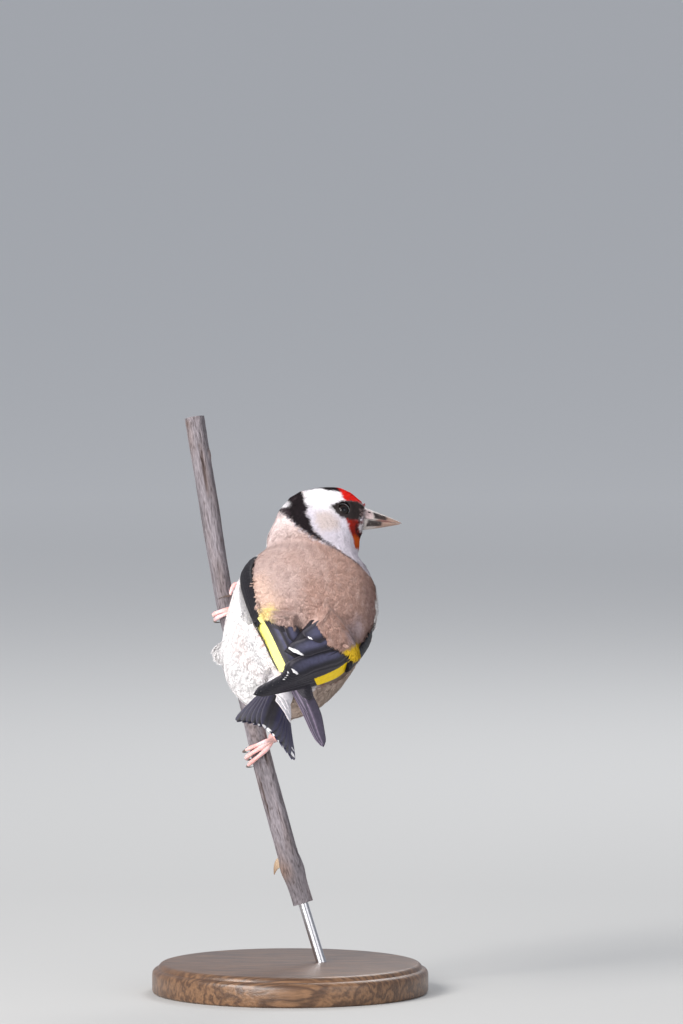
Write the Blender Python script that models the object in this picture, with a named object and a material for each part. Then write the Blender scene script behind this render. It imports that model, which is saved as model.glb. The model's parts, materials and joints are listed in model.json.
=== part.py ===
"""A European goldfinch clinging to a dry plant stem, as a still, life-size display model.

The bird is modelled in its own frame: x to its right, y towards its neck and z out of its back. Its head,
which looks over the right shoulder, has a frame of its own, held by an empty. Lengths are millimetres.
"""

import math

import bpy
import bmesh
from mathutils import Euler, Matrix, Vector

MM = 0.001
GAP = 0.3

# The bird's body: where its middle is, and how it is turned, pitched up and rolled to its right.
BODY_MIDDLE = Vector((2.4, 0.0, 112.0))
BODY_HEADING, BODY_PITCH, BODY_ROLL = -7.0, 27.7, 29.4
# The head: its middle in the body's frame, and its own heading, pitch and roll in the world.
HEAD_MIDDLE = Vector((-4.3, 32.7, 20.3))
HEAD_HEADING, HEAD_PITCH, HEAD_ROLL = -80.6, -8.7, -8.0

# Torso sections from the rump to the base of the neck: y, middle, half width, height above and depth below.
TORSO_SECTIONS = [
    (-31.0, 0.0, 6.5, 1.8, 8.5),
    (-26.5, -0.3, 11.0, 5.2, 15.5),
    (-20.0, -0.3, 16.2, 10.8, 21.8),
    (-12.0, -0.1, 19.6, 15.5, 24.4),
    (-3.0, 0.2, 21.2, 18.5, 23.6),
    (6.0, 0.7, 21.9, 20.0, 21.2),
    (15.0, 1.6, 22.0, 20.3, 18.2),
    (23.0, 1.8, 18.8, 19.0, 13.8),
    (30.0, 0.6, 12.4, 16.0, 9.0),
]
BELLY_FULLNESS = 2.5
RUMP_END, CHEST_END = 3.0, 4.0

# Soft masses between the torso and the head: middle and radii in the body's frame.
NECK_MASSES = [
    (Vector((-3.8, 26.0, 10.5)), Vector((14.2, 13.0, 13.5))),
    (Vector((-6.5, 30.0, 14.5)), Vector((11.5, 10.0, 9.5))),
]

# Head sections from the nape to the bill's base, in the head's frame: the same measures.
HEAD_SECTIONS = [
    (-12.0, 0.0, 4.6, 3.2, 5.5),
    (-9.0, 0.0, 7.0, 5.4, 8.5),
    (-4.0, 0.0, 8.4, 7.2, 9.8),
    (1.5, 0.0, 8.5, 7.8, 9.8),
    (6.0, 0.0, 7.2, 7.3, 9.6),
    (9.0, 0.0, 5.7, 6.0, 8.0),
    (11.6, 0.0, 3.9, 3.9, 5.0),
]
NAPE_END, FACE_END = 1.4, 0.8

# The bill, in the head's frame.
BILL_ROOT, BILL_LENGTH = Vector((0.0, 10.4, -0.3)), 13.2
BILL_HALF_WIDTH, BILL_RISE, BILL_DROP = 3.1, 4.0, 3.5
BILL_DIP, BILL_BLUNTNESS = -0.25, 0.12
BILL_STEPS, BILL_SIDES, BILL_END = 8, 7, 0.985
UPPER_CURVE, LOWER_CURVE, LOWER_SHARE = 0.82, 0.9, 0.975
BILL_TIP_RISE, BILL_SEAT_START = 0.05, -0.03
NOSTRIL = Vector((1.75, 12.6, 1.6))
NOSTRIL_RADII = Vector((0.42, 0.6, 0.42))

# The eyes, in the head's frame; the left one mirrors the right.
EYE_MIDDLE, EYE_RADIUS = Vector((5.9, 3.85, 1.45)), 2.15
LID_OUT, LID_RADIUS, LID_THICKNESS = 1.35, 2.2, 0.5
LID_STEPS, LID_SIDES = 14, 6
LID_FACING = Vector((1.0, 0.16, 0.06))

# Wing rails in the body's frame, each pair an outer (leading) and an inner edge: first the strip of small
# coverts from the bend of the wing to the mantle's edge, then the folded feathers from there to the tip.
WINGS = {
    "right": {
        "strip": ([(19.8, 12.0, 0.5), (21.8, 5.0, 1.0), (20.4, -4.0, 1.5), (17.4, -14.0, 1.5)],
                  [(19.6, 11.0, 5.0), (20.8, 4.5, 6.2), (19.4, -4.5, 6.8), (15.6, -15.5, 8.2)]),
        "strip_bow": [0.12, 0.12, 0.12],
        "folded": ([(17.9, -12.5, 1.8), (15.0, -19.5, 1.0), (8.9, -31.0, 2.4), (-1.6, -45.0, 4.6),
                    (-11.2, -59.5, 7.7)],
                   [(-0.2, -15.8, 15.0), (-2.4, -25.4, 13.2), (-3.7, -34.6, 11.6), (-6.7, -46.9, 9.8),
                    (-11.8, -59.0, 8.6)]),
        "folded_bow": [0.24, 0.20, 0.15, 0.10, 0.05],
        "dip": 0.055,
        "facing": -1,
    },
    "left": {
        "strip": ([(-18.8, 18.0, 1.0), (-20.8, 8.0, 1.5), (-18.8, -4.0, 3.0), (-14.4, -15.5, 3.6)],
                  [(-18.6, 16.0, 5.6), (-20.2, 6.5, 6.4), (-18.2, -5.0, 7.4), (-13.9, -14.8, 7.2)]),
        "strip_bow": [0.12, 0.12, 0.12],
        "folded": ([(-14.6, -14.5, 3.6), (-11.0, -20.4, 3.8), (-4.6, -28.9, 2.4), (6.2, -38.6, -1.2),
                    (15.4, -53.0, -3.2)],
                   [(-2.2, -20.4, 11.0), (0.8, -25.5, 7.6), (4.6, -31.0, 4.4), (11.0, -39.4, 1.5),
                    (16.9, -52.0, -1.8)]),
        "folded_bow": [0.24, 0.20, 0.14, 0.10, 0.05],
        "dip": 0.03,
        "facing": 1,
    },
}
WING_BED, WING_CLEARANCE, ROOM_MARGIN = 1.3, 5.0, 0.5
BED_REACH, BED_SIDES = 0.42, (0.06, 0.96)

# One feather as a thin vane: its thickness, the rise of each layer over the one before, the lean across it,
# and its outline as shares of its length and of its full half width.
VANE_THICKNESS, VANE_STEP, VANE_TILT = 0.52, 0.15, 0.35
VANE_LIMITS = (-0.03, 1.02)
ROUND_VANE = [(0.0, 0.45), (0.32, 0.86), (0.64, 1.0), (0.86, 0.80), (0.96, 0.46), (1.0, 0.16)]
POINTED_VANE = [(0.0, 0.6), (0.33, 0.92), (0.68, 1.0), (0.90, 0.66), (1.0, 0.14)]
SHORT_VANE = [(0.0, 0.6), (0.5, 1.0), (0.86, 0.74), (1.0, 0.24)]

# The folded wing's feathers, from its leading edge inwards. Roots and tips are shares along the wing and
# across it; a row's roots run evenly from its first to its last.
PRIMARY_ROOTS = ((0.25, 0.16), (0.25, 0.30))
PRIMARY_TIPS = [(0.985, 0.46), (1.0, 0.50), (0.985, 0.54), (0.93, 0.58), (0.86, 0.60), (0.78, 0.58),
                (0.71, 0.58)]
SECONDARY_ROOTS = ((0.08, 0.28), (0.08, 0.46))
SECONDARY_TIPS = [(0.68, 0.62), (0.66, 0.66), (0.64, 0.70)]
TERTIALS = [((0.02, 0.58), (0.62, 0.80)), ((0.0, 0.72), (0.45, 0.88)), ((0.0, 0.86), (0.23, 0.90))]
COVERT_ROOTS = ((0.0, 0.05), (0.0, 0.55))
COVERT_TIPS = [(0.21, 0.06), (0.20, 0.22), (0.18, 0.39), (0.17, 0.56)]
PRIMARY_HALF, SECONDARY_HALF, TERTIAL_HALF, COVERT_HALF = 2.9, 3.0, 3.2, 2.6
COVERT_LAYER, COVERT_STEP, COVERT_TILT = 7.5, 2.4, 0.28
ALULA_ROOT, ALULA_TIPS, ALULA_HALF = (0.03, 0.03), [(0.34, 0.05), (0.24, 0.05)], 1.3
ALULA_LAYER, ALULA_STEP, ALULA_TILT = 2.5, 3.0, 0.2

# The tail, in the body's frame.
TAIL_ROOT = Vector((-0.3, -30.0, -3.2))
TAIL_LEFT_TIP, TAIL_NOTCH = Vector((-13.6, -70.0, 4.0)), Vector((-4.0, -66.0, 2.6))
TAIL_RIGHT_TIP = Vector((5.9, -74.0, 2.8))
TAIL_ROOT_WIDTH, TAIL_ARCH, TAIL_SAG = 4.4, 1.6, 1.2
TAIL_FEATHERS, TAIL_HALF, TAIL_LAYERS, TAIL_TILT = 12, 2.7, 6, 0.2
TAIL_VANE_ROOT, TAIL_ROOT_SPAN, TAIL_TIP_SPAN = 0.06, (0.12, 0.88), (0.03, 0.97)
TAIL_STUB = Vector((5.2, 9.0, 4.3))
TAIL_STUB_OFFSET = Vector((-0.4, -5.0, 0.2))
TAIL_COVERTS, TAIL_COVERT_HALF, TAIL_COVERT_ROOT, TAIL_COVERT_TILT = 4, 2.6, 0.05, 0.1
TAIL_COVERT_SPAN, TAIL_COVERT_TIERS = (0.14, 0.86), [(0.40, 2.0), (0.46, -1.7)]
TAIL_LIMITS = (-0.4, 1.4)

# The dry stem, from its cut foot to its cut top: world position and radius; and the ring of its leaf scar.
STEM_POINTS = [
    (Vector((3.9, 3.6, 26.7)), 3.3),
    (Vector((-2.1, 5.6, 46.3)), 3.4),
    (Vector((-8.5, 8.6, 69.9)), 3.3),
    (Vector((-12.1, 12.2, 85.5)), 3.3),
    (Vector((-15.8, 17.2, 100.6)), 3.1),
    (Vector((-20.3, 22.6, 118.7)), 2.95),
    (Vector((-24.9, 28.4, 145.9)), 3.2),
    (Vector((-29.4, 33.4, 173.0)), 3.2),
]
STEM_SIDES, STEM_RINGS = 14, 22
# The bark's ridges: height, how many go round, and how they wind along the stem.
STEM_RIDGES = [(0.10, 5, 9.0), (0.06, 3, -23.0)]
STEM_RELIEF = 0.16
LEAF_SCAR = 0.085
SCAR_SWELL, SCAR_SPAN = 0.5, 0.02

# Legs: the feathered thighs and bare shanks in the body's frame, left then right.
LEGS = {
    "left": {"hip": Vector((-10.5, -5.0, -13.0)), "heel": Vector((-15.2, -1.6, -19.2)), "radii": (7.6, 3.7)},
    "right": {"hip": Vector((8.0, -8.0, -14.0)), "heel": Vector((8.2, -9.4, -21.8)), "radii": (7.4, 4.2)},
}
THIGH_START, THIGH_NARROWING, HEEL_ROOM = 0.62, 0.80, 1.9
SHANK_RADIUS, ANKLE_RADIUS, ANKLE_LENGTH = 0.95, 1.2, 2.8
SHANK_SWELLS = [1.26, 1.0, 0.94, 0.94, 1.0, 1.12]

# Feet: the height at which each grips the stem, and the side that the sole is on, in degrees from the
# viewer's side towards the stem's right. Each toe has its turn about the stem, its rise and how far it curls
# over, its bulge and its thickness.
FEET = {
    "left": {"grip": 113.9, "sole": 80.0, "toes": [
        ("inner", -50.0, 7.4, 1.6, 2.2, 0.72), ("middle", -185.0, 0.2, 1.0, 0.2, 0.80),
        ("outer", -168.0, -1.4, 1.0, 0.2, 0.74), ("hind", 105.0, 2.2, 1.0, 0.5, 0.78)]},
    "right": {"grip": 75.6, "sole": 84.0, "toes": [
        ("inner", -150.0, -2.0, 1.0, 0.3, 0.72), ("middle", -190.0, -4.4, 1.0, 0.2, 0.80),
        ("outer", -165.0, -6.6, 1.0, 0.3, 0.74), ("hind", 105.0, -0.6, 1.0, 0.5, 0.78)]},
}
TOE_STEPS, TOE_SIDES, TOE_OFF_STEM = 7, 6, 1.15
TOE_TAPER, TOE_PADS, TOE_PAD_STEPS = 0.22, 0.10, 3
CLAW_TURN, CLAW_GAP, CLAW_STEPS = 48.0, 9.0, 5
CLAW_BULGE, CLAW_THICK, CLAW_TAPER = 0.7, 0.62, 0.82
PALM_OFF_STEM, PALM_RADII = 1.7, Vector((1.7, 1.7, 1.9))

# The display stand.
BASE_RADIUS, BASE_HEIGHT, BASE_BEVEL = 42.0, 9.0, 1.2
ROD_RADIUS, ROD_IN_STEM, ROD_FOOT = 1.5, 9.0, 3.0

COLOURS = {
    "buff_plumage": ((0.46, 0.33, 0.25, 1.0), 0.85, 0.0),
    "pale_plumage": ((0.82, 0.78, 0.74, 1.0), 0.85, 0.0),
    "face_plumage": ((0.55, 0.03, 0.02, 1.0), 0.8, 0.0),
    "flight_feathers": ((0.02, 0.02, 0.025, 1.0), 0.5, 0.0),
    "bill_horn": ((0.78, 0.62, 0.55, 1.0), 0.4, 0.0),
    "eye_gloss": ((0.01, 0.008, 0.006, 1.0), 0.08, 0.0),
    "foot_skin": ((0.72, 0.42, 0.36, 1.0), 0.5, 0.0),
    "claw_horn": ((0.22, 0.16, 0.14, 1.0), 0.35, 0.0),
    "dry_stem": ((0.42, 0.37, 0.36, 1.0), 0.9, 0.0),
    "stand_wood": ((0.09, 0.055, 0.035, 1.0), 0.45, 0.0),
    "stand_steel": ((0.55, 0.55, 0.57, 1.0), 0.3, 1.0),
}


def clear_scene():
    for thing in list(bpy.data.objects):
        bpy.data.objects.remove(thing, do_unlink=True)


def material(name):
    found = bpy.data.materials.get(name)
    if found:
        return found
    made = bpy.data.materials.new(name)
    made.use_nodes = True
    colour, roughness, metallic = COLOURS[name]
    shader = made.node_tree.nodes["Principled BSDF"]
    shader.inputs["Base Color"].default_value = colour
    shader.inputs["Roughness"].default_value = roughness
    shader.inputs["Metallic"].default_value = metallic
    made.diffuse_color = colour
    return made


def turned(heading, pitch, roll):
    """Roll about y first, then pitch about x, then heading about z."""
    angles = (math.radians(pitch), math.radians(roll), math.radians(heading))
    return Euler(angles, "YXZ").to_matrix().to_4x4()


def empty(name, placed):
    made = bpy.data.objects.new(name, None)
    bpy.context.scene.collection.objects.link(made)
    made.matrix_world = placed
    return made


BODY_FRAME = Matrix.Translation(BODY_MIDDLE) @ turned(BODY_HEADING, BODY_PITCH, BODY_ROLL)
HEAD_FRAME = Matrix.Translation(BODY_FRAME @ HEAD_MIDDLE) @ turned(HEAD_HEADING, HEAD_PITCH, HEAD_ROLL)


def in_metres(frame):
    scaled = frame.copy()
    scaled.translation = frame.translation * MM
    return scaled


def solid(name, mesh_tool, slot, frame=None, parent=None):
    """An object from a bmesh in millimetres. With a frame, the points are that frame's."""
    bmesh.ops.scale(mesh_tool, vec=(MM, MM, MM), verts=mesh_tool.verts)
    mesh = bpy.data.meshes.new(name)
    mesh_tool.to_mesh(mesh)
    mesh_tool.free()
    made = bpy.data.objects.new(name, mesh)
    bpy.context.scene.collection.objects.link(made)
    made.data.materials.append(material(slot))
    if parent is not None:
        made.parent = parent
    elif frame is not None:
        made.matrix_world = in_metres(frame)
    bpy.context.view_layer.update()
    return made


def smooth_path(points, share):
    """A point on a smooth curve through the points, evenly over its spans, and straight on past its ends."""
    spans = len(points) - 1
    place = min(max(share, 0.0), 1.0) * spans
    index = min(int(place), spans - 1)
    t = place - index
    before, after = points[max(index - 1, 0)], points[min(index + 2, spans)]
    start, end = points[index], points[index + 1]
    on_curve = 0.5 * ((2 * start) + (end - before) * t + (2 * before - 5 * start + 4 * end - after) * t * t
                      + (3 * start - before - 3 * end + after) * t * t * t)
    if share < 0:
        return on_curve + (points[1] - points[0]) * share * spans
    if share > 1:
        return on_curve + (points[-1] - points[-2]) * (share - 1) * spans
    return on_curve


def between(values, share):
    """A number or a vector read from evenly spaced values."""
    place = min(max(share, 0.0), 1.0) * (len(values) - 1)
    index = min(int(place), len(values) - 2)
    return values[index] + (values[index + 1] - values[index]) * (place - index)


def skin_rings(rings, first_tip=None, last_tip=None, band=False):
    """Closed surface over equal rings of points in triangles; its ends are drawn to a tip, or capped.

    A band is a flat ring whose second half runs back under its first: its two faces are split alike, and its
    caps follow it.
    """
    made = bmesh.new()
    loops = [[made.verts.new(point) for point in ring] for ring in rings]
    count = len(rings[0])
    for low, high in zip(loops, loops[1:]):
        for i in range(count):
            j = (i + 1) % count
            if band and i >= count // 2:
                made.faces.new((low[i], low[j], high[i]))
                made.faces.new((low[j], high[j], high[i]))
            else:
                made.faces.new((low[i], low[j], high[j]))
                made.faces.new((low[i], high[j], high[i]))
    for loop, tip in ((loops[0], first_tip), (loops[-1], last_tip)):
        if band:
            for i in range(count // 2 - 1):
                made.faces.new((loop[i], loop[i + 1], loop[-1 - i]))
                made.faces.new((loop[i + 1], loop[-2 - i], loop[-1 - i]))
            continue
        middle = tip if tip is not None else sum((v.co for v in loop), Vector()) / count
        point = made.verts.new(middle)
        for i in range(count):
            made.faces.new((loop[i], loop[(i + 1) % count], point))
    bmesh.ops.recalc_face_normals(made, faces=made.faces)
    return made


def ball(middle, radii, segments=20, rings=12):
    made = bmesh.new()
    bmesh.ops.create_uvsphere(made, u_segments=segments, v_segments=rings, radius=1.0)
    bmesh.ops.scale(made, vec=radii, verts=made.verts)
    bmesh.ops.translate(made, vec=middle, verts=made.verts)
    return made


def across_path(direction):
    """Two directions square to a path, the first as level as it can be."""
    side = direction.cross(Vector((0, 0, 1)))
    if side.length < 0.05:
        side = direction.cross(Vector((0, 1, 0)))
    side.normalize()
    return side, side.cross(direction).normalized()


def tube(points, radii, sides, last_tip=None, first_tip=None):
    """A round bar along the points, with its own radius at each."""
    rings = []
    for index, point in enumerate(points):
        ahead = points[min(index + 1, len(points) - 1)]
        behind = points[max(index - 1, 0)]
        side, up = across_path((ahead - behind).normalized())
        rings.append([point + radii[index] * (math.cos(a) * side + math.sin(a) * up)
                      for a in (2 * math.pi * k / sides for k in range(sides))])
    return skin_rings(rings, first_tip=first_tip, last_tip=last_tip)


def capsule(start, end, start_radius, end_radius, sides=14, steps=4):
    """A round-ended bar that tapers from one end to the other."""
    axis = (end - start).normalized()
    stations = []
    for k in range(1, steps + 1):
        angle = math.pi / 2 * k / steps
        stations.append((start - axis * start_radius * math.cos(angle), start_radius * math.sin(angle)))
    for k in range(steps, 0, -1):
        angle = math.pi / 2 * k / steps
        stations.append((end + axis * end_radius * math.cos(angle), end_radius * math.sin(angle)))
    side, up = across_path(axis)
    rings = [[middle + radius * (math.cos(a) * side + math.sin(a) * up)
              for a in (2 * math.pi * k / sides for k in range(sides))] for middle, radius in stations]
    return skin_rings(rings, first_tip=start - axis * start_radius, last_tip=end + axis * end_radius)


def section_loft(sections, first_bulge, last_bulge, sides, fullness=2.0):
    """A body along y with rounded ends, whose sections have their own middle, width, height and depth."""
    tops = [Vector(section[0:3]) for section in sections]
    heights = [Vector((section[3], section[4], 0)) for section in sections]
    rings = []
    steps = 3 * (len(sections) - 1)
    for k in range(steps + 1):
        y, middle, wide = smooth_path(tops, k / steps)
        rise_and_depth = smooth_path(heights, k / steps)
        ring = []
        for i in range(sides):
            angle = 2 * math.pi * i / sides
            across, rise = math.cos(angle), math.sin(angle)
            power = 1.0 if rise > 0 else 2 / fullness
            tall = rise_and_depth.x if rise > 0 else rise_and_depth.y
            ring.append(Vector((middle + wide * math.copysign(abs(across) ** power, across), y,
                                tall * math.copysign(abs(rise) ** power, rise))))
        rings.append(ring)
    first, last = sections[0], sections[-1]
    first_tip = Vector((first[1], first[0] - first_bulge, (first[3] - first[4]) / 2))
    last_tip = Vector((last[1], last[0] + last_bulge, (last[3] - last[4]) / 2))
    return skin_rings(rings, first_tip=first_tip, last_tip=last_tip)


def settle(thing):
    """Bakes an object's modifiers into its mesh."""
    bpy.context.view_layer.update()
    graph = bpy.context.evaluated_depsgraph_get()
    baked = bpy.data.meshes.new_from_object(thing.evaluated_get(graph))
    thing.modifiers.clear()
    thing.data = baked


def keep_largest(thing):
    """Keeps an object's largest closed surface and drops any loose scrap."""
    work = bmesh.new()
    work.from_mesh(thing.data)
    bmesh.ops.triangulate(work, faces=work.faces)
    unseen, shells = set(work.faces), []
    while unseen:
        stack, shell = [unseen.pop()], []
        while stack:
            face = stack.pop()
            shell.append(face)
            for edge in face.edges:
                for other in edge.link_faces:
                    if other in unseen:
                        unseen.remove(other)
                        stack.append(other)
        shells.append(shell)

    def volume(shell):
        return sum(f.verts[0].co.dot(f.verts[1].co.cross(f.verts[2].co)) for f in shell) / 6

    shells.sort(key=volume)
    drop = [face for shell in shells[:-1] for face in shell]
    bmesh.ops.delete(work, geom=drop, context="FACES")
    work.to_mesh(thing.data)
    work.free()


def trim(thing, cutter, operation="DIFFERENCE", solver="EXACT"):
    """Cuts an object with a closed cutter that stays in the scene."""
    cutter.hide_render = True
    cutter.display_type = "WIRE"
    change = thing.modifiers.new("trim", "BOOLEAN")
    change.operation = operation
    change.solver = solver
    change.object = cutter
    settle(thing)
    keep_largest(thing)


def fuse(name, meshes, slot, frame, solver="EXACT"):
    """Joins closed bmesh pieces of one frame into one closed body by a single union on a collection."""
    pieces = bpy.data.collections.new(name + "_pieces")
    bpy.context.scene.collection.children.link(pieces)
    first = solid(name, meshes[0], slot, frame=frame)
    others = []
    for index, mesh_tool in enumerate(meshes[1:]):
        other = solid(f"{name}_piece_{index}", mesh_tool, slot, frame=frame)
        bpy.context.scene.collection.objects.unlink(other)
        pieces.objects.link(other)
        others.append(other)
    bpy.context.view_layer.update()
    join = first.modifiers.new("join", "BOOLEAN")
    join.operation = "UNION"
    join.operand_type = "COLLECTION"
    join.solver = solver
    join.collection = pieces
    settle(first)
    for other in others:
        bpy.data.objects.remove(other, do_unlink=True)
    bpy.data.collections.remove(pieces)
    keep_largest(first)
    return first


def discard(*things):
    for thing in things:
        bpy.data.objects.remove(thing, do_unlink=True)


def copy_of(thing, name, slot):
    made = thing.copy()
    made.data = thing.data.copy()
    made.name = name
    made.data.materials.clear()
    made.data.materials.append(material(slot))
    bpy.context.scene.collection.objects.link(made)
    return made


def slice_off(thing, point, normal):
    """Cuts away what lies beyond a plane (body frame, millimetres) and caps the cut."""
    work = bmesh.new()
    work.from_mesh(thing.data)
    geometry = work.verts[:] + work.edges[:] + work.faces[:]
    cut = bmesh.ops.bisect_plane(work, geom=geometry, plane_co=point * MM, plane_no=normal, clear_outer=True)
    rim = [item for item in cut["geom_cut"] if isinstance(item, bmesh.types.BMEdge)]
    bmesh.ops.triangle_fill(work, edges=rim, use_beauty=True, normal=normal)
    bmesh.ops.recalc_face_normals(work, faces=work.faces)
    work.to_mesh(thing.data)
    work.free()
    keep_largest(thing)


def plumage_whole():
    """The bird's feathered outline in one closed surface, its torso, thighs, neck and head run together."""
    to_body = BODY_FRAME.inverted() @ HEAD_FRAME
    head = section_loft(HEAD_SECTIONS, NAPE_END, FACE_END, 28)
    bmesh.ops.transform(head, matrix=to_body, verts=head.verts)
    masses = [section_loft(TORSO_SECTIONS, RUMP_END, CHEST_END, 36, BELLY_FULLNESS), head]
    masses += [ball(middle, radii) for middle, radii in NECK_MASSES]
    masses += [capsule(leg["hip"], leg["heel"], *leg["radii"]) for leg in LEGS.values()]
    whole = fuse("plumage_whole", masses, "buff_plumage", BODY_FRAME)
    mesh_again = whole.modifiers.new("mesh_again", "REMESH")
    mesh_again.mode = "VOXEL"
    mesh_again.voxel_size = 1.0 * MM
    soften = whole.modifiers.new("soften", "SMOOTH")
    soften.factor = 0.5
    soften.iterations = 10
    lighten = whole.modifiers.new("lighten", "DECIMATE")
    lighten.ratio = 0.052
    settle(whole)
    keep_largest(whole)
    return whole


# Where the head meets the neck and the neck meets the torso: a point and the direction towards the head.
HEAD_CUT = (Vector((-5.2, 29.0, 13.6)), Vector((0.06, 0.55, 0.83)).normalized())
NECK_CUT = (Vector((-4.0, 22.5, 9.0)), Vector((-0.05, 0.86, 0.5)).normalized())


def wing_surface(outer, inner, bows, facing, dip=0.0):
    """A sheet of the wing: a function of the share along it, the share across it and the lift off it.

    The dip carries the middle of its first row on towards the tip, as the mantle's edge lies over it.
    """
    outer = [Vector(point) for point in outer]
    inner = [Vector(point) for point in inner]
    last = len(outer) - 1
    outs = []
    for k in range(last + 1):
        ahead, behind = min(k + 1, last), max(k - 1, 0)
        run = outer[ahead] + inner[ahead] - outer[behind] - inner[behind]
        outs.append(run.cross(inner[k] - outer[k]).normalized() * facing)

    def point(along, across, lift):
        middling = 4 * across * (1 - across)
        along += dip * max(0.0, middling) * (1 - along)
        edge = smooth_path(outer, along)
        reach = smooth_path(inner, along) - edge
        out = between(outs, along).normalized()
        return edge + reach * across + out * (between(bows, along) * reach.length * middling + lift)

    return point


def sheet_block(surface, along_range, across_range, low, high, steps=16, across_steps=4, margin=0.0):
    """A closed block over a stretch of a sheet between two lifts; a margin widens it at both sides."""
    rings = []
    for k in range(steps + 1):
        along = along_range[0] + (along_range[1] - along_range[0]) * k / steps
        extra = margin / (surface(along, 1.0, 0.0) - surface(along, 0.0, 0.0)).length
        first, last = across_range[0] - extra, across_range[1] + extra
        shares = [first + (last - first) * i / across_steps for i in range(across_steps + 1)]
        ring = [surface(along, share, high) for share in shares]
        ring += [surface(along, share, low) for share in reversed(shares)]
        rings.append(ring)
    return skin_rings(rings, band=True)


def vane(surface, root, tip, half_width, layer, outline=ROUND_VANE, tilt=VANE_TILT, lift=0.0,
         limits=VANE_LIMITS):
    """One feather on a sheet: a thin blade from root to tip, each a share along it and a share across it.

    It keeps to the limits, which are shares across the sheet.
    """
    rings = []
    for share, width in outline:
        along = root[0] + (tip[0] - root[0]) * share
        across = root[1] + (tip[1] - root[1]) * share
        span = (surface(along, 1.0, 0.0) - surface(along, 0.0, 0.0)).length
        half = half_width * width / max(span, half_width)
        near, far = max(across - half, limits[0]), min(across + half, limits[1])
        height = lift + layer * VANE_STEP
        rings.append([
            surface(along, near, height + tilt),
            surface(along, far, height - tilt),
            surface(along, far, height - tilt - VANE_THICKNESS),
            surface(along, near, height + tilt - VANE_THICKNESS),
        ])
    return skin_rings(rings, band=True)


def feather_row(surface, roots, tips, half_width, layer, outline=ROUND_VANE, tilt=VANE_TILT, layer_step=1.0):
    """Feathers side by side, each a layer over the one before."""
    row = []
    for k, tip in enumerate(tips):
        share = k / (len(tips) - 1)
        root = [first + (last - first) * share for first, last in zip(*roots)]
        row.append(vane(surface, root, tip, half_width, layer + k * layer_step, outline, tilt))
    return row


def wing_feathers(folded):
    """A folded wing's feathers, from the outermost primary up to the innermost tertial, then the coverts."""
    secondary_layer = len(PRIMARY_TIPS)
    tertial_layer = secondary_layer + len(SECONDARY_TIPS)
    made = feather_row(folded, PRIMARY_ROOTS, PRIMARY_TIPS, PRIMARY_HALF, 0, POINTED_VANE)
    made += feather_row(folded, SECONDARY_ROOTS, SECONDARY_TIPS, SECONDARY_HALF, secondary_layer)
    for k, (root, tip) in enumerate(TERTIALS):
        made.append(vane(folded, root, tip, TERTIAL_HALF, tertial_layer + k))
    made += feather_row(folded, COVERT_ROOTS, COVERT_TIPS, COVERT_HALF, COVERT_LAYER, SHORT_VANE,
                        COVERT_TILT, COVERT_STEP)
    made += feather_row(folded, (ALULA_ROOT, ALULA_ROOT), ALULA_TIPS, ALULA_HALF, ALULA_LAYER, SHORT_VANE,
                        ALULA_TILT, ALULA_STEP)
    return made


def make_wing(name, strip, folded):
    """A folded wing: the strip of small coverts, and the large feathers with the bed that they root in."""
    pieces = [
        sheet_block(strip, (0.0, 1.0), (0.0, 1.0), -WING_BED, 0.5, steps=8, across_steps=3),
        sheet_block(folded, (0.0, BED_REACH), BED_SIDES, -WING_BED, 0.5, steps=5, across_steps=5),
    ]
    return fuse(name, pieces + wing_feathers(folded), "flight_feathers", BODY_FRAME, solver="MANIFOLD")


def wing_rooms(side, strip, folded):
    """The two spaces that a wing takes up, grown by the gap, for cutting what lies under it."""
    low = -WING_BED - 1.4 * GAP
    blocks = [
        sheet_block(strip, (-0.02, 1.04), (0.0, 1.0), low, WING_CLEARANCE, 10, 4, ROOM_MARGIN),
        sheet_block(folded, (-0.012, 1.02), VANE_LIMITS, low, WING_CLEARANCE, 14, 9, ROOM_MARGIN),
    ]
    return [solid(f"room_{side}_{k}", block, "flight_feathers", frame=BODY_FRAME)
            for k, block in enumerate(blocks)]


def tail_spread(share):
    """The tip of the tail feather that is this share of the way from the left one to the right one."""
    left, notch, right = TAIL_LEFT_TIP, TAIL_NOTCH, TAIL_RIGHT_TIP
    across = left.lerp(right, share)
    depth = notch - left.lerp(right, 0.5)
    return across + depth * (1 - abs(2 * share - 1) ** 1.5)


def tail_surface(along, across, lift):
    """The tail's sheet, from its root to the feathers' ends and from its left edge to its right one."""
    level = (TAIL_RIGHT_TIP - TAIL_LEFT_TIP).normalized()
    out = level.cross((TAIL_NOTCH - TAIL_ROOT).normalized()).normalized()
    if out.z < 0:
        out.negate()
    root = TAIL_ROOT + level * TAIL_ROOT_WIDTH * (across - 0.5)
    arch = TAIL_ARCH * (1 - abs(2 * across - 1) ** 2) * (1 - along) - TAIL_SAG * math.sin(math.pi * along)
    return root.lerp(tail_spread(across), along) + out * (arch + lift)


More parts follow.
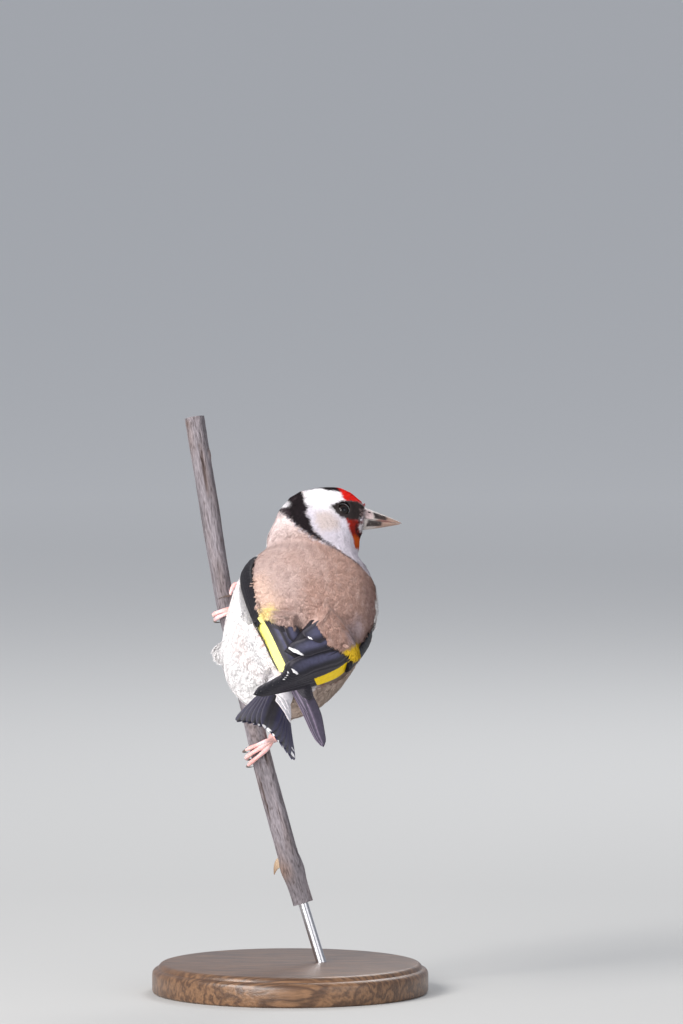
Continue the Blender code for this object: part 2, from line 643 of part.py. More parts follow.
def make_tail():
    """Twelve fanned feathers that fork at the middle, rooted in the stub under their coverts."""
    pieces = [ball(TAIL_ROOT + TAIL_STUB_OFFSET, TAIL_STUB, segments=12, rings=8)]
    for k in range(TAIL_FEATHERS):
        share = k / (TAIL_FEATHERS - 1)
        root = (TAIL_VANE_ROOT, between(TAIL_ROOT_SPAN, share))
        tip = (1.0, between(TAIL_TIP_SPAN, share))
        layer = TAIL_LAYERS * (1 - abs(2 * share - 1))
        tilt = math.copysign(TAIL_TILT, 0.5 - share)
        pieces.append(vane(tail_surface, root, tip, TAIL_HALF, layer, POINTED_VANE, tilt, 0.0, TAIL_LIMITS))
    for k in range(TAIL_COVERTS):
        place = between(TAIL_COVERT_SPAN, k / (TAIL_COVERTS - 1))
        for reach, lift in TAIL_COVERT_TIERS:
            pieces.append(vane(tail_surface, (TAIL_COVERT_ROOT, place), (reach, place), TAIL_COVERT_HALF, 0,
                               SHORT_VANE, TAIL_COVERT_TILT, lift, TAIL_LIMITS))
    return fuse("tail", pieces, "flight_feathers", BODY_FRAME, solver="MANIFOLD")


def half_bill(upper, grow=0.0, start=0.0):
    """One mandible: half-round sections that shrink to the point. Grown, it is the socket it sits in."""
    sign, rise, curve, length = 1.0, BILL_RISE, UPPER_CURVE, BILL_LENGTH
    if not upper:
        sign, rise, curve, length = -1.0, BILL_DROP, LOWER_CURVE, BILL_LENGTH * LOWER_SHARE
    seam, extra = GAP / 2 - grow, grow + BILL_BLUNTNESS
    arc = [math.pi * i / (BILL_SIDES - 1) for i in range(BILL_SIDES)]
    rings = []
    for k in range(BILL_STEPS):
        share = start + (BILL_END - start) * k / (BILL_STEPS - 1)
        size = (1 - share) ** curve
        middle = BILL_ROOT + Vector((0, length * share, -BILL_DIP * share ** 2))
        wide, tall = BILL_HALF_WIDTH * size + extra, rise * size + extra
        section = [Vector((wide * math.cos(a), 0, sign * (seam + (tall - seam) * math.sin(a)))) for a in arc]
        rings.append([middle + offset for offset in section])
    tip = BILL_ROOT + Vector((0, length + grow, -BILL_DIP + sign * (GAP / 2 + BILL_TIP_RISE)))
    return skin_rings(rings, last_tip=tip)


def make_head_parts(head, head_frame):
    """Cuts the eye sockets and the bill's seat in the head, and adds the lids, the eyes and the bill."""
    for side, word in ((1, "right"), (-1, "left")):
        middle = Vector((EYE_MIDDLE.x * side, EYE_MIDDLE.y, EYE_MIDDLE.z))
        outward = Vector((LID_FACING.x * side, LID_FACING.y, LID_FACING.z)).normalized()
        lid_middle = middle + outward * LID_OUT
        lid_turn = outward.to_track_quat("Z", "Y").to_matrix().to_4x4()
        section = [ring_direction(2 * math.pi * j / LID_SIDES) * LID_THICKNESS for j in range(LID_SIDES)]
        rim = []
        for i in range(LID_STEPS):
            spoke = ring_direction(2 * math.pi * i / LID_STEPS)
            rim.append([lid_middle + lid_turn @ (spoke * (LID_RADIUS + turn.x) + Vector((0, 0, turn.y)))
                        for turn in section])
        lid_piece = solid("lid_" + word, closed_hoop(rim), "face_plumage", frame=HEAD_FRAME)
        trim(head, lid_piece, operation="UNION")
        hollow = ball(middle, Vector((1, 1, 1)) * (EYE_RADIUS + GAP), 14, 9)
        socket = solid("socket_" + word, hollow, "eye_gloss", frame=HEAD_FRAME)
        trim(head, socket)
        discard(lid_piece, socket)
        eyeball = ball(middle, Vector((1, 1, 1)) * EYE_RADIUS, 14, 9)
        solid("eye_" + word, eyeball, "eye_gloss", parent=head_frame)
    for upper, word in ((True, "upper"), (False, "lower")):
        socket = half_bill(upper, grow=GAP, start=BILL_SEAT_START)
        seat = solid("seat_" + word, socket, "bill_horn", frame=HEAD_FRAME)
        trim(head, seat)
        discard(seat)
        mandible = solid("bill_" + word, half_bill(upper), "bill_horn", parent=head_frame)
        if upper:
            for side in (1, -1):
                middle = Vector((NOSTRIL.x * side, NOSTRIL.y, NOSTRIL.z))
                pit = solid("nostril", ball(middle, NOSTRIL_RADII, 8, 6), "bill_horn", frame=HEAD_FRAME)
                trim(mandible, pit)
                discard(pit)


def ring_direction(angle):
    return Vector((math.cos(angle), math.sin(angle), 0))


def closed_hoop(rings):
    """A closed surface through rings that go all the way round."""
    made = bmesh.new()
    loops = [[made.verts.new(point) for point in ring] for ring in rings]
    count, sides = len(rings), len(rings[0])
    for i in range(count):
        low, high = loops[i], loops[(i + 1) % count]
        for j in range(sides):
            after = (j + 1) % sides
            made.faces.new((low[j], low[after], high[after]))
            made.faces.new((low[j], high[after], high[j]))
    bmesh.ops.recalc_face_normals(made, faces=made.faces)
    return made


def stem_at(share):
    """The stem's middle line and radius at a share of its length from the foot."""
    middle = smooth_path([point for point, radius in STEM_POINTS], share)
    return middle, between([radius for point, radius in STEM_POINTS], share)


def stem_share(height):
    """The share of the stem's length at which its middle line reaches a height."""
    low, high = 0.0, 1.0
    for halving in range(24):
        middle = (low + high) / 2
        if stem_at(middle)[0].z < height:
            low = middle
        else:
            high = middle
    return low


def stem_axes(share):
    """The stem's direction and its two cross directions: towards the viewer and towards its right."""
    along = (stem_at(share + 0.01)[0] - stem_at(share - 0.01)[0]).normalized()
    near = (Vector((0, -1, 0)) - along * -along.y).normalized()
    return along, near, along.cross(near).normalized()


def make_stem():
    """The cut length of stem: lightly ridged, swollen at its leaf scar, and drilled for the rod."""
    rings = []
    for k in range(STEM_RINGS + 1):
        share = k / STEM_RINGS
        middle, radius = stem_at(share)
        along, near, right = stem_axes(min(max(share, 0.01), 0.99))
        swell = SCAR_SWELL * math.exp(-((share - LEAF_SCAR) / SCAR_SPAN) ** 2)
        ring = []
        for i in range(STEM_SIDES):
            angle = 2 * math.pi * i / STEM_SIDES
            ridges = sum(high * math.sin(count * angle + wind * share) for high, count, wind in STEM_RIDGES)
            out = math.cos(angle) * near + math.sin(angle) * right
            ring.append(middle + (radius - STEM_RELIEF + ridges + swell) * out)
        rings.append(ring)
    stem = solid("stem", skin_rings(rings), "dry_stem")
    foot, along = stem_at(0.0)[0], stem_axes(0.01)[0]
    bore = tube([foot - along * 4, foot + along * (ROD_IN_STEM + GAP)], [ROD_RADIUS + GAP] * 2, 16)
    drill = solid("drill", bore, "dry_stem")
    trim(stem, drill)
    discard(drill)
    return stem


def on_stem(share, angle, rise, clearance):
    """A point beside the stem, by its angle from the viewer's side, rise along it and clearance off it."""
    middle, radius = stem_at(share)
    along, near, right = stem_axes(share)
    turn = math.radians(angle)
    return middle + along * rise + (radius + clearance) * (math.cos(turn) * near + math.sin(turn) * right)


def toe_lift(rise, curl, share):
    """How far along the stem a toe has risen; a curl over 1 brings its end back down."""
    return rise * math.sin(curl * share * math.pi / 2)


def leg_line(leg, spec):
    """A bare leg's heel and palm in the world, and the direction from the one to the other."""
    heel = BODY_FRAME @ leg["heel"]
    palm = on_stem(stem_share(spec["grip"]), spec["sole"], 0.0, PALM_OFF_STEM)
    return heel, palm, (palm - heel).normalized()


def toe_line(grip, sole, turn, rise, curl, bulge, thick):
    """The points and radii of one toe, round the stem from the palm."""
    points, radii = [], []
    for k in range(TOE_STEPS + 1):
        share = k / TOE_STEPS
        off = TOE_OFF_STEM + bulge * math.sin(math.pi * share)
        points.append(on_stem(grip, sole + turn * share, toe_lift(rise, curl, share), off))
        pad = TOE_PADS * math.cos(2 * math.pi * k / TOE_PAD_STEPS)
        radii.append(thick * (1.0 - TOE_TAPER * share) + pad)
    return points, radii


def make_claw(name, grip, sole, turn, lift, thick):
    """A curved claw that carries on round the stem from its toe's end."""
    onward = math.copysign(1.0, turn)
    points, radii = [], []
    for k in range(CLAW_STEPS + 1):
        share = k / CLAW_STEPS
        angle = sole + turn + onward * (CLAW_GAP + CLAW_TURN * share)
        off = TOE_OFF_STEM + CLAW_BULGE * math.sin(math.pi * share)
        points.append(on_stem(grip, angle, lift - GAP * share, off))
        radii.append(thick * CLAW_THICK * (1 - CLAW_TAPER * share))
    solid(name, tube(points, radii, TOE_SIDES), "claw_horn")


def make_foot(side, spec, leg):
    """One leg's shank, its foot with four toes, and their claws. Returns the rooms that they take up."""
    grip, sole = stem_share(spec["grip"]), spec["sole"]
    heel, palm, toward = leg_line(leg, spec)
    joint = palm - toward * ANKLE_LENGTH
    pieces = [ball(palm, PALM_RADII, 10, 7), tube([joint, palm], [SHANK_RADIUS * 1.12, ANKLE_RADIUS], 8)]
    palm_room = ball(palm, PALM_RADII + Vector((1, 1, 1)) * 1.2 * GAP, 10, 7)
    rooms = [solid(f"room_{side}_palm", palm_room, "foot_skin")]
    for name, turn, rise, curl, bulge, thick in spec["toes"]:
        points, radii = toe_line(grip, sole, turn, rise, curl, bulge, thick)
        pieces.append(tube(points, radii, TOE_SIDES))
        room = tube(points, [radius + 1.2 * GAP for radius in radii], TOE_SIDES)
        rooms.append(solid(f"room_{side}_{name}", room, "foot_skin"))
        make_claw(f"claw_{side}_{name}", grip, sole, turn, toe_lift(rise, curl, 1.0), thick)
    fuse(f"foot_{side}", pieces, "foot_skin", Matrix.Identity(4))
    start, end = heel + toward * 0.5, joint - toward * GAP
    radii = [SHANK_RADIUS * swell for swell in SHANK_SWELLS]
    steps = [start.lerp(end, k / (len(radii) - 1)) for k in range(len(radii))]
    solid(f"shank_{side}", tube(steps, radii, 8), "foot_skin")
    return rooms


def make_stand(stem_foot, along):
    """A round wooden base and one steel rod that carries on down the line of the stem."""
    base = bmesh.new()
    bmesh.ops.create_cone(base, cap_ends=True, cap_tris=False, segments=40, radius1=BASE_RADIUS,
                          radius2=BASE_RADIUS, depth=BASE_HEIGHT)
    bmesh.ops.translate(base, vec=(0, 0, BASE_HEIGHT / 2), verts=base.verts)
    rim = [edge for edge in base.edges if all(v.co.z > BASE_HEIGHT - 0.01 for v in edge.verts)]
    bmesh.ops.bevel(base, geom=rim, offset=BASE_BEVEL, segments=2, affect="EDGES")
    base = solid("stand_base", base, "stand_wood")
    rod_top = stem_foot + along * ROD_IN_STEM
    rod_foot = stem_foot - along * ((stem_foot.z - ROD_FOOT) / along.z)
    hole = tube([rod_foot - along * GAP, stem_foot], [ROD_RADIUS + GAP] * 2, 16)
    drill = solid("drill", hole, "stand_wood")
    trim(base, drill)
    discard(drill)
    solid("stand_rod", tube([rod_foot, rod_top], [ROD_RADIUS] * 2, 16), "stand_steel")


def part_thigh(whole, name, leg):
    """Parts one thigh from the whole outline, leaving the gap round it."""
    middle = leg["hip"].lerp(leg["heel"], THIGH_START)
    start_radius, end_radius = leg["radii"][0] * THIGH_NARROWING, leg["radii"][1] + HEEL_ROOM
    room = capsule(middle, leg["heel"], start_radius, end_radius)
    inner = solid("thigh_room", room, "pale_plumage", BODY_FRAME)
    grown = capsule(middle, leg["heel"], start_radius + GAP, end_radius + GAP)
    outer = solid("thigh_gap", grown, "pale_plumage", BODY_FRAME)
    thigh = copy_of(whole, name, "pale_plumage")
    trim(thigh, inner, operation="INTERSECT")
    trim(whole, outer)
    discard(inner, outer)
    return thigh


def main():
    clear_scene()
    head_frame = empty("head_frame", in_metres(HEAD_FRAME))
    make_stem()
    make_stand(stem_at(0.0)[0], stem_axes(0.01)[0])

    whole = plumage_whole()
    thighs = {side: part_thigh(whole, f"thigh_{side}", leg) for side, leg in LEGS.items()}

    sheets, rooms = {}, {}
    for side, wing in WINGS.items():
        sheets[side] = (wing_surface(*wing["strip"], wing["strip_bow"], wing["facing"]),
                        wing_surface(*wing["folded"], wing["folded_bow"], wing["facing"], wing["dip"]))
        rooms[side] = wing_rooms(side, *sheets[side])
        for room in rooms[side]:
            trim(whole, room)

    head = copy_of(whole, "head", "face_plumage")
    slice_off(head, HEAD_CUT[0], -HEAD_CUT[1])
    neck = copy_of(whole, "neck", "buff_plumage")
    slice_off(neck, HEAD_CUT[0] - HEAD_CUT[1] * GAP, HEAD_CUT[1])
    slice_off(neck, NECK_CUT[0], -NECK_CUT[1])
    torso = whole
    torso.name = "torso"
    slice_off(torso, NECK_CUT[0] - NECK_CUT[1] * GAP, NECK_CUT[1])
    make_head_parts(head, head_frame)

    make_wing("wing_right", *sheets["right"])
    left_wing = make_wing("wing_left", *sheets["left"])
    trim(left_wing, rooms["right"][1])

    tail = make_tail()
    tail_end = TAIL_ROOT + Vector((0, -0.2, 0))
    slice_off(tail, tail_end, Vector((0, 1, 0)))
    slice_off(torso, tail_end + Vector((0, GAP, 0)), Vector((0, -1, 0)))
    for side in ("right", "left"):
        trim(tail, rooms[side][1])
        discard(*rooms[side])

    for side, spec in FEET.items():
        heel, palm, toward = leg_line(LEGS[side], spec)
        sleeve = tube([heel + toward * (0.5 - GAP), palm], [ANKLE_RADIUS + GAP] * 2, 10)
        for room in [solid("sleeve", sleeve, "foot_skin")] + make_foot(side, spec, LEGS[side]):
            trim(thighs[side], room)
            trim(torso, room)
            discard(room)


main()
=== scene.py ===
"""The looks of a European goldfinch at life size, clinging to a dry stem on its display stand.

The bird's two frames, the sheets of its wings and tail and the stem's line are those that its solids are
built on. Lengths are millimetres until a mesh is made.
"""

import collections
import json
import math

import bmesh
import bpy
import numpy as np
from mathutils import Euler, Matrix, Vector, noise
from mathutils.bvhtree import BVHTree
from mathutils.kdtree import KDTree

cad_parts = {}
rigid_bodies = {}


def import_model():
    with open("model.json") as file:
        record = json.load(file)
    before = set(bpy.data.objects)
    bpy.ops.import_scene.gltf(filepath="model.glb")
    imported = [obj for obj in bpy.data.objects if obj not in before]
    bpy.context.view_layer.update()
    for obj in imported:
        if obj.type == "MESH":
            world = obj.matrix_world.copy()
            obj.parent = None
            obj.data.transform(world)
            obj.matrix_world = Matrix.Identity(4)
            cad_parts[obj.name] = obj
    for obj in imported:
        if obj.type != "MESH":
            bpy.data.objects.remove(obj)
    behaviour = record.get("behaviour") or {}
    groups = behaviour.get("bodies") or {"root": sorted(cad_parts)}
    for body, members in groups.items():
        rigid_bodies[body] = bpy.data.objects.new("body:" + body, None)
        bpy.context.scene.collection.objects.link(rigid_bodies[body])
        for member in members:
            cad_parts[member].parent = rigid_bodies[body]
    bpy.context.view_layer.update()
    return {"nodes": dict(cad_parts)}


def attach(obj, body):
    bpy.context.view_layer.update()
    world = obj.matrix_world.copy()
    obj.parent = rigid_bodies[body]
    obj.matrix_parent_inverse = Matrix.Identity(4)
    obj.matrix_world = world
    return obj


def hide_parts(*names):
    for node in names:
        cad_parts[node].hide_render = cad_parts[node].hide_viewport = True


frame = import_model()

MM = 0.001

# The camera: it looks along +Y, tilted down a little, with the photograph's scale at the bird.
AIM = Vector((15.58, 0.0, 146.3))
CAMERA_TILT, CAMERA_REACH = 4.0, 3000.0
SENSOR, FRAME_HEIGHT = 36.0, 310.3

# The floor's half width, its tones near and far, and the distances between which they blend.
# Painted light: the floor is darker near the bird and lighter far off, where the lamps' light falls off, so that
# it all reads evenly pale.
FLOOR_REACH, FLOOR_BLEND = 30000.0, (300.0, 2200.0)
FLOOR_NEAR, FLOOR_FAR = (0.52, 0.52, 0.51), (0.90, 0.90, 0.88)
AIR_COLOUR, AIR_STRENGTH = (0.86, 0.90, 1.0, 1.0), 0.46
# The lamps: name, place, width, watts and colour.
LAMPS = (("key", (-950, -850, 950), 600, 20.0, (1.0, 0.965, 0.93)),
         ("low", (-600, -1200, 260), 700, 17.0, (1.0, 0.98, 0.97)),
         ("fill", (1000, -1000, 300), 900, 5.0, (1.0, 0.98, 0.97)),
         ("rim", (300, 800, 900), 500, 5.0, (1.0, 1.0, 1.0)))

# The bird's body and head frames.
BODY_MIDDLE = Vector((2.4, 0.0, 112.0))
BODY_TURN = (-7.0, 27.7, 29.4)
HEAD_MIDDLE = Vector((-4.3, 32.7, 20.3))
HEAD_TURN = (-80.6, -8.7, -8.0)

# Plumage colours, as linear light.
WHITE = (0.84, 0.815, 0.85)
# The head's white as painted in shade, for its lower half.
SHADED_CHEEK_WHITE = (0.66, 0.62, 0.69)
CHEEK_BUFF = (0.58, 0.48, 0.44)
# Bluish-grey painted shade for the white under the cheek.
CHEEK_SHADE_BLUE = (0.62, 0.57, 0.63)
BLACK = (0.017, 0.013, 0.015)
LORES = (0.030, 0.024, 0.024)
# Worn, faded black on the crescent's back; also the dark of the painted shadow under the cheek's edge.
FADED_BLACK_AND_SHADOW = (0.048, 0.035, 0.040)
RED = (0.60, 0.014, 0.010)
DEEP_RED = (0.26, 0.018, 0.012)
ORANGE_RED = (0.52, 0.085, 0.012)
BRISTLE_PINK = (0.50, 0.36, 0.36)
NAPE = (0.94, 0.80, 0.79)
MANTLE_PALE = (0.57, 0.425, 0.39)
MANTLE = (0.455, 0.29, 0.24)
MANTLE_DARK = (0.23, 0.145, 0.135)
MANTLE_PEACH = (0.74, 0.53, 0.44)
# A lilac that lightens the mantle's low right side: painted light against the shade in the hollow beside the
# pad.
LILAC_PAINTED_LIGHT = (0.48, 0.38, 0.40)
MANTLE_GOLD = (1.0, 0.80, 0.30)
MANTLE_AMBER = (0.95, 0.66, 0.03)
BELLY = (0.95, 0.93, 0.935)
BELLY_BUFF = (0.86, 0.70, 0.67)
FLANK = (0.50, 0.37, 0.29)
YELLOW = (1.0, 0.70, 0.0)
# The left wing's yellow, painted paler as if in full light; the right wing's bar is YELLOW.
PAINTED_LIT_YELLOW = (0.98, 0.92, 0.27)
QUILL_BLACK = (0.020, 0.018, 0.025)
# A painted sheen: the bluish highlight of glossy quills, painted into their colour.
QUILL_PAINTED_SHEEN = (0.095, 0.095, 0.165)
# The left wing's primaries, painted grey-violet for the sheen they catch; the right wing's are black.
QUILL_SHEEN_GREY = (0.052, 0.044, 0.068)
SHAFT_PALE = (0.25, 0.20, 0.28)
QUILL_EDGE = (0.10, 0.09, 0.11)
QUILL_WHITE = (0.92, 0.90, 0.91)

# The stand's colours and the count of its wood's rings.
WOOD_DARK, WOOD_LIGHT, GRAIN_RINGS = (0.085, 0.042, 0.022), (0.20, 0.105, 0.052), 46.0
STEEL_DARK, STEEL_LIGHT = (0.42, 0.42, 0.44), (0.62, 0.62, 0.64)

# The flight feathers' drawn barbs: their spacing and how steeply they slant.
BARB_PITCH, BARB_SLANT = 0.34, 1.3


def turned(heading, pitch, roll):
    """Roll about y first, then pitch about x, then heading about z."""
    return Euler((math.radians(pitch), math.radians(roll), math.radians(heading)), "YXZ").to_matrix().to_4x4()


BODY_FRAME = Matrix.Translation(BODY_MIDDLE) @ turned(*BODY_TURN)
HEAD_FRAME = Matrix.Translation(BODY_FRAME @ HEAD_MIDDLE) @ turned(*HEAD_TURN)


def in_frame(matrix, points):
    """World points, as rows in millimetres, seen from a frame."""
    inverse = np.array(matrix.inverted())
    return points @ inverse[:3, :3].T + inverse[:3, 3]


def world_direction(matrix, directions):
    return directions @ np.array(matrix)[:3, :3].T


def unit(rows):
    return rows / np.maximum(np.linalg.norm(rows, axis=1, keepdims=True), 1e-9)


def ramp(values, low, high):
    """A soft step from 0 at low to 1 at high."""
    share = np.clip((values - low) / (high - low), 0, 1)
    return share * share * (3 - 2 * share)


def mix(first, second, share):
    return first + (np.array(second) - first) * share[:, None]


def ripple(points, size, seed):
    """Smooth wandering values about zero, from crossed waves of about this size."""
    chance = np.random.default_rng(seed)
    total = np.zeros(len(points))
    for wave in range(6):
        way = unit(chance.normal(size=(1, 3)))[0]
        length = size * chance.uniform(0.7, 1.5)
        total += np.sin(points @ way * 2 * math.pi / length + chance.uniform(0, 6.28))
    return total / 2.4


def depth_inside(flat_points, outline):
    """How far each flat point is inside a closed outline; negative outside."""
    first = np.array(outline, float)
    second = np.roll(first, -1, axis=0)
    edge = second - first
    offset = flat_points[:, None] - first[None]
    share = np.clip((offset * edge).sum(-1) / (edge ** 2).sum(-1), 0, 1)
    distance = np.linalg.norm(offset - share[..., None] * edge, axis=-1).min(1)
    across, up = flat_points[:, 0:1], flat_points[:, 1:2]
    spans = (first[:, 1] > up) != (second[:, 1] > up)
    rise = np.where(edge[:, 1] == 0, 1e-9, edge[:, 1])
    meets = across < edge[:, 0] * (up - first[:, 1]) / rise + first[:, 0]
    odd = (spans & meets).sum(1) % 2 == 1
    return np.where(odd, distance, -distance)


# The head's markings, each an outline in the head's frame: forward, up.
EYE_PATCH = [(-0.8, 1.25), (1.0, 2.7), (2.8, 3.6), (4.4, 3.9), (6.8, 4.3), (9.0, 4.4), (11.2, 3.2),
             (11.0, 0.6), (9.4, -1.2), (7.4, -1.6), (5.9, -1.5), (3.2, -1.5), (1.1, 0.1)]
RED_BROW = [(2.3, 8.5), (2.4, 7.2), (2.9, 5.8), (3.6, 4.1), (4.6, 3.8), (6.8, 4.1), (9.0, 4.3),
            (13.0, 2.6), (13.0, 9.0)]
RED_CHIN = [(4.6, -1.4), (6.0, -3.6), (7.0, -5.6), (8.5, -7.4), (9.0, -9.8), (14.0, -9.8),
            (14.0, -1.6), (8.0, -1.2)]
BLACK_CHIN = [(8.5, -2.6), (9.2, -2.6), (9.6, -4.8), (11.2, -5.2), (13.6, -5.4), (13.6, -6.4),
              (10.0, -6.4), (8.9, -5.2)]
BILL_CORNER = [(9.4, -2.6), (11.2, -1.8), (13.6, -1.8), (13.6, -4.7), (11.8, -4.8), (9.8, -4.3)]
BRISTLES = [(10.2, 1.6), (11.2, 3.0), (13.5, 2.4), (13.5, -3.6), (11.6, -3.4), (10.5, -0.8)]
CRESCENT = [(-8.4, 7.0), (-8.4, 4.0), (-7.9, 1.4), (-6.7, 0.3), (-7.5, -1.6), (-6.2, -3.9), (-5.5, -6.2),
            (-3.7, -7.9), (-1.2, -9.7), (1.0, -10.9), (-1.4, -10.4), (-3.4, -9.9), (-6.2, -8.8),
            (-8.6, -7.5), (-10.4, -5.6), (-12.6, -3.8), (-14.2, -1.7), (-15.0, 2.0), (-14.0, 7.0)]
CHEEK_PATCH = [(-4.6, -1.4), (-0.6, -0.4), (2.6, -2.4), (2.8, -5.2), (-2.4, -6.6), (-4.4, -4.4)]
# Each of these gives places forward, then what goes with them: the crown's half width, the height of the
# face's lower line, and the height of the line between the mantle's side and the underparts, left and right.
CROWN = ((-9.5, -6.0, -4.0, -2.8, -0.9, 1.7, 3.0), (1.2, 0.9, 1.3, 2.3, 4.6, 4.3, 4.0))
FACE_LINE = ((-1.4, 3.5, 7.3, 9.7, 14.0), (-10.4, -12.2, -13.8, -15.0, -18.0))
SIDE_LINE_LEFT = ((-30, -16, 0, 12, 20, 27, 34), (2.0, 5.8, 6.3, 5.5, 6.0, 7.0, 9.0))
SIDE_LINE_RIGHT = ((-30, -16, 0, 8, 12, 14, 20, 27, 34), (-2, 1, 3, 6.5, 11.2, 11.6, 12.5, 15, 20))
NAPE_SPOT, NAPE_SPOT_RADIUS, NAPE_SPOT_HALF = (-13.2, 1.0), 1.5, 5.0


def head_colours(points):
    """The head's plumage: white, with a red face, black lores, crown and crescent, and a buff cheek."""
    place = in_frame(HEAD_FRAME, points)
    jitter = 0.30 * ripple(points, 1.5, 3)
    side = place[:, 1:3] + np.stack([0.22 * ripple(points, 1.3, 5), 0.20 * ripple(points, 1.1, 7)], axis=1)
    colour = np.tile(np.array(WHITE), (len(points), 1))
    # Painted shade: the head's lower half is painted a greyer white than its top.
    colour = mix(colour, SHADED_CHEEK_WHITE, ramp(-place[:, 2], -1.5, 1.5))
    colour = mix(colour, CHEEK_BUFF, 0.75 * ramp(depth_inside(side, CHEEK_PATCH), -1.5, 1.2))
    # Painted shade: bluish grey on the white low and forward under the cheek.
    colour = mix(colour, CHEEK_SHADE_BLUE, 0.7 * ramp(place[:, 1], 2.5, 6.5) * ramp(-place[:, 2], 5.5, 8.5))
    half = np.interp(place[:, 1], *CROWN)
    crown = ramp(half - np.abs(place[:, 0]) + jitter, -0.3, 0.3) * ramp(place[:, 2], 1.0, 2.5)
    crown *= ramp(3.2 - side[:, 0], -0.4, 0.4)
    colour = mix(colour, BLACK, crown)
    back = ramp(depth_inside(side, CRESCENT), -0.35, 0.35)
    shabby = ramp(-place[:, 1] + 2.0 * ripple(points, 2.6, 9), 11.0, 14.5)
    colour = mix(colour, BLACK, back)
    colour = mix(colour, FADED_BLACK_AND_SHADOW, back * shabby)
    from_spot = np.linalg.norm(place[:, 1:3] - np.array(NAPE_SPOT), axis=1)
    nape_spot = ramp(NAPE_SPOT_RADIUS - from_spot, -0.3, 0.5) * (np.abs(place[:, 0]) < NAPE_SPOT_HALF)
    colour = mix(colour, WHITE, nape_spot)
    red = ramp(depth_inside(side, RED_BROW), -0.25, 0.35)
    colour = mix(colour, RED, red)
    chin = ramp(depth_inside(side, RED_CHIN), -0.3, 0.4)
    colour = mix(colour, DEEP_RED, chin)
    sooty = 0.75 * chin * ramp(place[:, 1] + 1.4 * ripple(points, 1.2, 10), 7.8, 10.0)
    colour = mix(colour, BLACK, sooty * ramp(place[:, 2], -6.5, -4.0))
    colour = mix(colour, ORANGE_RED, chin * ramp(-place[:, 2] + jitter, 5.4, 7.0))
    colour = mix(colour, BLACK, ramp(depth_inside(side, BLACK_CHIN), -0.3, 0.4))
    colour = mix(colour, LORES, ramp(depth_inside(side, EYE_PATCH), -0.25, 0.25))
    bristles = ramp(depth_inside(side, BRISTLES) + 0.7 * ripple(points, 0.9, 12), -0.5, 0.9)
    colour = mix(colour, BRISTLE_PINK, 0.72 * bristles)
    return mix(colour, WHITE, 0.8 * ramp(depth_inside(side, BILL_CORNER), -0.2, 0.4))


# Washes of colour at the mantle's edges: both ends of each in the body's frame, its reach, fade and colour.
GILDED = (((-17.5, -2.0, 8.0), (-13.5, -13.0, 10.2), 6.5, 6.0, MANTLE_PEACH),
          # The lilac wash is painted light, lifting the shade in the hollow between the mantle and the right
          # pad.
          ((17.0, -5.0, 12.5), (14.5, -15.0, 13.0), 6.0, 6.0, LILAC_PAINTED_LIGHT),
          ((-13.3, -16.0, 10.4), (-12.6, -21.6, 9.2), 3.9, 3.6, MANTLE_GOLD),
          ((15.0, -20.0, 10.4), (18.8, -11.0, 8.0), 3.4, 1.2, MANTLE_AMBER))


def body_colours(points):
    """The body's plumage: buff brown mantle, pale nape, white underparts, buff sides and a white rump."""
    place = in_frame(BODY_FRAME, points)
    right, forward, up = place.T
    streak = ripple(place * np.array((1.0, 0.22, 1.0)), 1.5, 11)
    streak += 0.6 * ripple(place * np.array((1.0, 0.3, 1.0)), 0.8, 13)
    cloud = ripple(place, 11.0, 15)
    colour = np.tile(np.array(MANTLE), (len(points), 1))
    # Painted light and shade: the mantle is painted paler towards its left, where the light comes from, and
    # darker towards its right. The streaks below are the feathers' own.
    colour = mix(colour, MANTLE_PALE, ramp(-right + 2.5 * cloud, -4.0, 16.0))
    colour = mix(colour, MANTLE_DARK, 0.8 * ramp(right + 2.0 * cloud, 8.0, 22.0))
    colour = mix(colour, MANTLE_DARK, 0.34 * ramp(streak, 0.1, 1.4))
    colour = mix(colour, MANTLE_PALE, 0.34 * ramp(-streak, 0.1, 1.4))
    nape = ramp(forward + 0.35 * up - 0.55 * right, 27.0, 40.0)
    colour = mix(colour, NAPE, 0.85 * nape)
    for start, end, reach, fade, shade in GILDED:
        start, run = np.array(start), np.array(end) - np.array(start)
        share = np.clip((place - start) @ run / (run @ run), 0, 1)
        near = np.linalg.norm(place - start - share[:, None] * run, axis=1) + 0.5 * ripple(points, 2.0, 27)
        colour = mix(colour, shade, 0.92 * ramp(reach - near, 0, fade))
    rump = ramp(-forward + 0.8 * ripple(points, 3.0, 17), 25.0, 29.0) * ramp(up, -4.0, 0.0)
    colour = mix(colour, WHITE, rump)
    line = np.where(right < 0, np.interp(forward, *SIDE_LINE_LEFT), np.interp(forward, *SIDE_LINE_RIGHT))
    line += 0.5 * ripple(points, 2.2, 19)
    under = np.tile(np.array(BELLY), (len(points), 1))
    buff = 0.35 * ramp(4 - np.abs(up + 3.0) + 3 * cloud, 0, 6)
    under = mix(under, BELLY_BUFF, buff * ramp(-right, 4.0, 9.0))
    sides = ramp(right + 1.5 * cloud, -6.0, 3.0) * ramp(-forward, -14.0, 2.0)
    under = mix(under, FLANK, 0.85 * sides)
    under = mix(under, MANTLE_DARK, 0.30 * sides * ramp(streak, 0.2, 1.3))
    breast = ramp(forward, 6.0, 20.0) * ramp(14 - np.abs(right), 0, 6) * ramp(-up, -8.0, 4.0)
    under = mix(under, BELLY_BUFF, 0.5 * breast)
    return colour + (under - colour) * ramp(line - up, -0.5, 0.5)[:, None]


